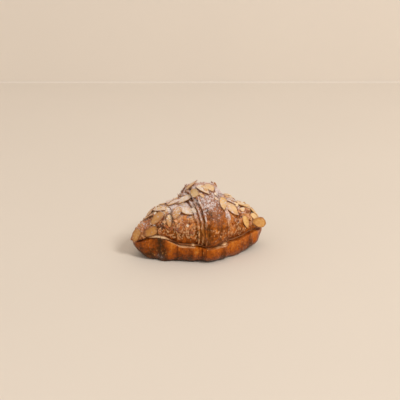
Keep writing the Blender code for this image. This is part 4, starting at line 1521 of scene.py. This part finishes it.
class CROISSANT_OT_bottom_crust(Operator):
    """Builds the bottom half's crust, its cut face with open crumb, and its underside"""

    bl_idname = "croissant.bottom_crust"
    bl_label = "Bottom crust"
    bl_options = UNDOABLE

    def execute(self, context):
        (front, front_masks, front_pale), (back, back_masks, back_pale) = bottom_crust_sides()
        near_rim = 0.5 * np.linspace(0.0, 1.0, 15)[1:] ** 2.0
        cut = np.concatenate([near_rim, 1.0 - near_rim[-2::-1]])
        foot = np.linspace(0.0, 1.0, 9)[1:-1]
        face = between(front[:, -1], back[:, -1], cut)
        depth = CUT_RELIEF * np.sin(math.pi * cut) ** 0.5
        face[..., 2] -= depth * (1.0 + noise(face, "cut face"))
        values = {}
        for label, mask in front_masks.items():
            over = between(mask[:, -1], back_masks[label][:, -1], cut)
            values[label] = closed_rings(mask, over, back_masks[label], foot)
        bare = np.zeros_like(front_pale)
        crumb = 0.16 + 0.50 * between(front_pale[:, -1], back_pale[:, -1], cut)
        values["crumb"] = closed_rings(bare, crumb, bare, foot)
        rings = closed_rings(front, face, back, foot)
        material = crust_material("bottom crust", *BOTTOM_LOOK)
        crust = add_loft("bottom_crust", rings, values, material)
        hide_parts("bottom_half")
        return {"FINISHED"}


class CROISSANT_OT_almond_cream(Operator):
    """Builds the almond cream between the halves: a slab whose edge bulges unevenly"""

    bl_idname = "croissant.almond_cream"
    bl_label = "Almond cream"
    bl_options = UNDOABLE

    def execute(self, context):
        bulge = context.scene.croissant_cream.bulge
        x, shares = lower_profile(STATION_SPACING * 1.3, 6, CREAM_SHORTER)
        turn = np.radians(np.linspace(-90.0, 90.0, 9))
        edges = []
        for side in (-1.0, 1.0):
            rim = plain_side(x, shares, np.ones(1), side)[:, 0]
            uneven = CREAM_RELIEF * lumps(rim, CREAM_LUMPS, LUMP_SEED)
            uneven += bulge * noise(rim, "cream edge")
            uneven += 0.4 * bulge * noise(rim, "fine cream edge")
            uneven += CREAM_BLOB_BULGE * bell(x, *CREAM_BLOB) * (side < 0.0)
            uneven -= CREAM_RECESS * (1.0 - cream_stretch(rim))
            half = np.maximum(np.abs(rim[:, 1]) - CREAM_MARGIN + uneven, CREAM_LEAST)
            edge = np.empty((len(x), len(turn), 3))
            edge[..., 0] = leaned(x, np.array([-side]))
            edge[..., 1] = side * (half[:, None] - CREAM_ROUNDING * (1.0 - np.cos(turn)))
            edge[..., 2] = cut_height(x)[:, None] + 0.5 * CREAM_THICKNESS * np.sin(turn)
            edges.append(edge)
        front, back = edges
        across = np.linspace(0.0, 1.0, 7)[1:-1]
        over = between(front[:, -1], back[:, -1], across)
        rings = closed_rings(front, over, back, across)
        masks = {"pale": cream_stretch(rings)}
        cream = add_loft("cream_layer", rings, masks, cream_material())
        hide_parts("almond_cream")
        return {"FINISHED"}


class CROISSANT_OT_flaked_almonds(Operator):
    """Lays the flaked almonds on the crust as rounded, bent and toasted plates"""

    bl_idname = "croissant.flaked_almonds"
    bl_label = "Flaked almonds"
    bl_options = UNDOABLE

    def execute(self, context):
        surfaces, flake_masks, _ = zip(*flaked_almond_surfaces())

        def joined(parts):
            return np.concatenate([with_poles(part) for part in parts])

        points = joined(surfaces)
        one_flake = with_poles(surfaces[0])
        faces = copies(one_flake, loft_faces(*surfaces[0].shape[:2]), len(surfaces))
        masks = {label: joined([mask[label] for mask in flake_masks]) for label in flake_masks[0]}
        up = joined([outward(surface)[..., 2] for surface in surfaces])
        x, in_front = points[:, 0], smooth_step(-points[:, 1], 0.010, 0.016)
        sugary = 0.50 + 0.26 * noise(points, "flake sugar") + 0.28 * bell(x, *SUGARY_FLAKES_LEFT)
        sugary += 0.24 * bell(x, *SUGARY_FLAKES_RIGHT) * in_front
        sugary -= 0.20 * smooth_step(x, 0.037, 0.045)
        masks["sugar"] = clipped(smooth_step(up, 0.25, 1.0) * sugary)
        material = almond_material("flaked almond")
        add_piece("almond_flakes", points, faces, masks, material)
        return {"FINISHED"}


class CROISSANT_OT_broken_almonds(Operator):
    """Strews broken pieces of flaked almond between the whole ones along the ridge"""

    bl_idname = "croissant.broken_almonds"
    bl_label = "Broken almonds"
    bl_options = UNDOABLE

    def execute(self, context):
        count = context.scene.croissant_almonds.broken
        points, normals, _ = top_crust_surface()
        left = stretch(points[..., 0], *BROKEN_LEFT)
        right = stretch(points[..., 0], *BROKEN_RIGHT)
        ridge = smooth_step(normals[..., 2], 0.55, 0.90)
        places = resting_places(points, ridge * (left + 0.7 * right + 0.12))
        whole, faces, _ = strewn_plates(
            places, count, BROKEN_SIZES, BROKEN_THICKNESS, BROKEN_CURL, BROKEN_LIFT,
            SEEDS["broken"])
        draw = np.random.default_rng(SEEDS["broken toast"])
        ranges = {"toast": (0.0, 0.60), "rim": (0.0, 0.4), "sugar": (0.35, 0.70)}
        fields = {label: np.repeat(draw.uniform(*limits, count), whole.shape[1])
                  for label, limits in ranges.items()}
        material = almond_material("broken almond")
        add_piece("broken_almonds", whole, faces, fields, material)
        return {"FINISHED"}


class CROISSANT_OT_loose_sheets(Operator):
    """Lays thin curved sheets of crust that peel off near the laminations' ends"""

    bl_idname = "croissant.loose_sheets"
    bl_label = "Loose sheets of crust"
    bl_options = UNDOABLE

    def execute(self, context):
        scrap = context.scene.croissant_scrap
        masks = top_crust_surface()[2]
        places = crumbly_places(masks["crumbly"] + 0.6 * masks["edge"] + 0.004)
        made = strewn_plates(
            places, scrap.shards, SHEET_SIZES, SHEET_THICKNESS, SHEET_CURL, scrap.lift,
            SEEDS["sheets"])
        material = scrap_material("loose crust")
        add_scraps("crust_sheets", made, material, SHEETS_PALER, SEEDS["sheet bake"])
        return {"FINISHED"}


class CROISSANT_OT_crumbs(Operator):
    """Strews crumbs of crust where it is crumbly and along the laminations' ends"""

    bl_idname = "croissant.crumbs"
    bl_label = "Crumbs"
    bl_options = UNDOABLE

    def execute(self, context):
        count = context.scene.croissant_scrap.crumbs
        masks = top_crust_surface()[2]
        weight = 0.08 + masks["crumbly"] + 0.7 * masks["edge"] + 0.5 * masks["skin"]
        places = crumbly_places(weight)
        made = strewn_lumps(
            places, count, CRUMB_SHAPE, CRUMB_RADIUS, CRUMB_SINK, SEEDS["crumbs"])
        material = scrap_material("crumbs")
        crumbs = add_scraps("crust_crumbs", made, material, CRUMBS_PALER, SEEDS["crumb bake"])
        crumbs.data.shade_flat()
        return {"FINISHED"}


class CROISSANT_OT_icing_sugar(Operator):
    """Strews loose grains of icing sugar where it lies thickest, on crust and almonds"""

    bl_idname = "croissant.icing_sugar"
    bl_label = "Icing sugar"
    bl_options = UNDOABLE

    def execute(self, context):
        sugar = context.scene.croissant_sugar
        points, _, masks = top_crust_surface()
        groups = [resting_places(points, masks["sugar"] ** 2)]
        for surface, _, _ in flaked_almond_surfaces():
            facing_up = smooth_step(outward(surface)[..., 2], 0.1, 0.9)
            groups.append(resting_places(surface, 0.30 * facing_up))
        places = tuple(np.concatenate(part) for part in zip(*groups))
        points, faces, _ = strewn_lumps(
            places, sugar.grains, GRAIN_SHAPE, sugar.grain_size, GRAIN_SINK, SEEDS["sugar"])
        grains = add_piece("sugar_grains", points, faces, {}, sugar_material())
        grains.data.shade_flat()
        return {"FINISHED"}


def add_camera(scene):
    """The camera that sees the croissant from a little to the left and above."""
    data = bpy.data.cameras.new("camera")
    data.lens = CAMERA_LENS
    data.sensor_width = CAMERA_SENSOR
    data.clip_start = 0.01
    scene.camera = link_object("camera", data)
    scene.camera.location = CAMERA_PLACE
    scene.camera.rotation_euler = [math.radians(angle) for angle in CAMERA_TURN]


def add_soft_light(name, power, size, colour, azimuth, elevation, distance):
    """A square light that looks at the croissant from an azimuth and an elevation."""
    data = bpy.data.lights.new(name, "AREA")
    data.energy = power
    data.size = size
    data.color = colour
    level = math.cos(elevation)
    place = Vector((math.sin(azimuth) * level, -math.cos(azimuth) * level, math.sin(elevation)))
    light = link_object(name, data)
    light.location = place * distance
    light.rotation_euler = place.to_track_quat("Z", "Y").to_euler()


def add_backdrop(distance):
    """Table and wall in one sheet: a profile that runs level, turns up along a small
    quarter circle and runs upright, carried along the camera's own sideways direction."""
    turn = np.linspace(0.0, math.pi / 2, 9)
    corner_run = distance - CORNER_RADIUS * (1.0 - np.sin(turn))
    run = np.concatenate([TABLE_RUN, corner_run, [distance]])
    corner_up = CORNER_RADIUS * (1.0 - np.cos(turn))
    up = np.concatenate([np.zeros(len(TABLE_RUN)), corner_up, [WALL_HEIGHT]])
    across = np.linspace(-TABLE_HALF_WIDTH, TABLE_HALF_WIDTH, 21)[:, None]
    cosine, sine = math.cos(CAMERA_AZIMUTH), math.sin(CAMERA_AZIMUTH)
    sheet = np.empty((len(across), len(run), 3))
    sheet[..., 0] = across * cosine - run * sine
    sheet[..., 1] = across * sine + run * cosine
    sheet[..., 2] = up
    rows, columns = sheet.shape[:2]
    corner = np.arange(rows - 1)[:, None] * columns + np.arange(columns - 1)
    quads = np.stack([corner, corner + columns, corner + columns + 1, corner + 1], -1)
    made = mesh_object("table_and_wall", sheet, [quads.reshape(-1, 4)], backdrop_material())


class CROISSANT_OT_stage(Operator):
    """Sets the pale table, the wall behind it, the soft lights and the camera"""

    bl_idname = "croissant.stage"
    bl_label = "Table, light and camera"
    bl_options = UNDOABLE

    def execute(self, context):
        scene, stage = context.scene, context.scene.croissant_stage
        add_backdrop(stage.backdrop)
        add_camera(scene)
        add_soft_light("key light", stage.key_power, **KEY_LIGHT)
        add_soft_light("fill light", stage.fill_power, **FILL_LIGHT)
        scene.world = scene.world or bpy.data.worlds.new("air")
        scene.world.use_nodes = True
        air = scene.world.node_tree.nodes["Background"]
        air.inputs["Color"].default_value = (*stage.sky, 1.0)
        air.inputs["Strength"].default_value = stage.sky_strength
        scene.view_settings.view_transform = "Standard"
        return {"FINISHED"}


class CROISSANT_PT_pieces(Panel):
    """Lists the croissant's pieces"""

    bl_label = "Almond croissant"
    bl_idname = "CROISSANT_PT_pieces"
    bl_space_type = "VIEW_3D"
    bl_region_type = "UI"
    bl_category = "Croissant"

    def draw(self, context):
        for operator in OPERATORS:
            self.layout.operator(operator.bl_idname)
        for name in SETTINGS:
            box = self.layout.box()
            settings = getattr(context.scene, name)
            for setting in settings.bl_rna.properties:
                if setting.identifier not in {"rna_type", "name"}:
                    box.prop(settings, setting.identifier)


OPERATORS = (
    CROISSANT_OT_top_crust, CROISSANT_OT_bottom_crust, CROISSANT_OT_almond_cream,
    CROISSANT_OT_flaked_almonds, CROISSANT_OT_broken_almonds, CROISSANT_OT_loose_sheets,
    CROISSANT_OT_crumbs, CROISSANT_OT_icing_sugar, CROISSANT_OT_stage,
)
SETTINGS = {
    "croissant_crust": CrustSettings, "croissant_cream": CreamSettings,
    "croissant_almonds": AlmondSettings, "croissant_sugar": SugarSettings,
    "croissant_scrap": ScrapSettings, "croissant_stage": StageSettings,
}
CLASSES = (*SETTINGS.values(), *OPERATORS, CROISSANT_PT_pieces)


def register():
    for kind in CLASSES:
        bpy.utils.register_class(kind)
    for name, kind in SETTINGS.items():
        setattr(bpy.types.Scene, name, PointerProperty(type=kind))


def unregister():
    for name in SETTINGS:
        delattr(bpy.types.Scene, name)
    for kind in reversed(CLASSES):
        bpy.utils.unregister_class(kind)


def main():
    """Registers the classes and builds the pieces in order."""
    register()
    bpy.ops.croissant.top_crust()
    bpy.ops.croissant.bottom_crust()
    bpy.ops.croissant.almond_cream()
    bpy.ops.croissant.flaked_almonds()
    bpy.ops.croissant.broken_almonds()
    bpy.ops.croissant.loose_sheets()
    bpy.ops.croissant.crumbs()
    bpy.ops.croissant.icing_sugar()
    bpy.ops.croissant.stage()


if __name__ == "__main__":
    main()
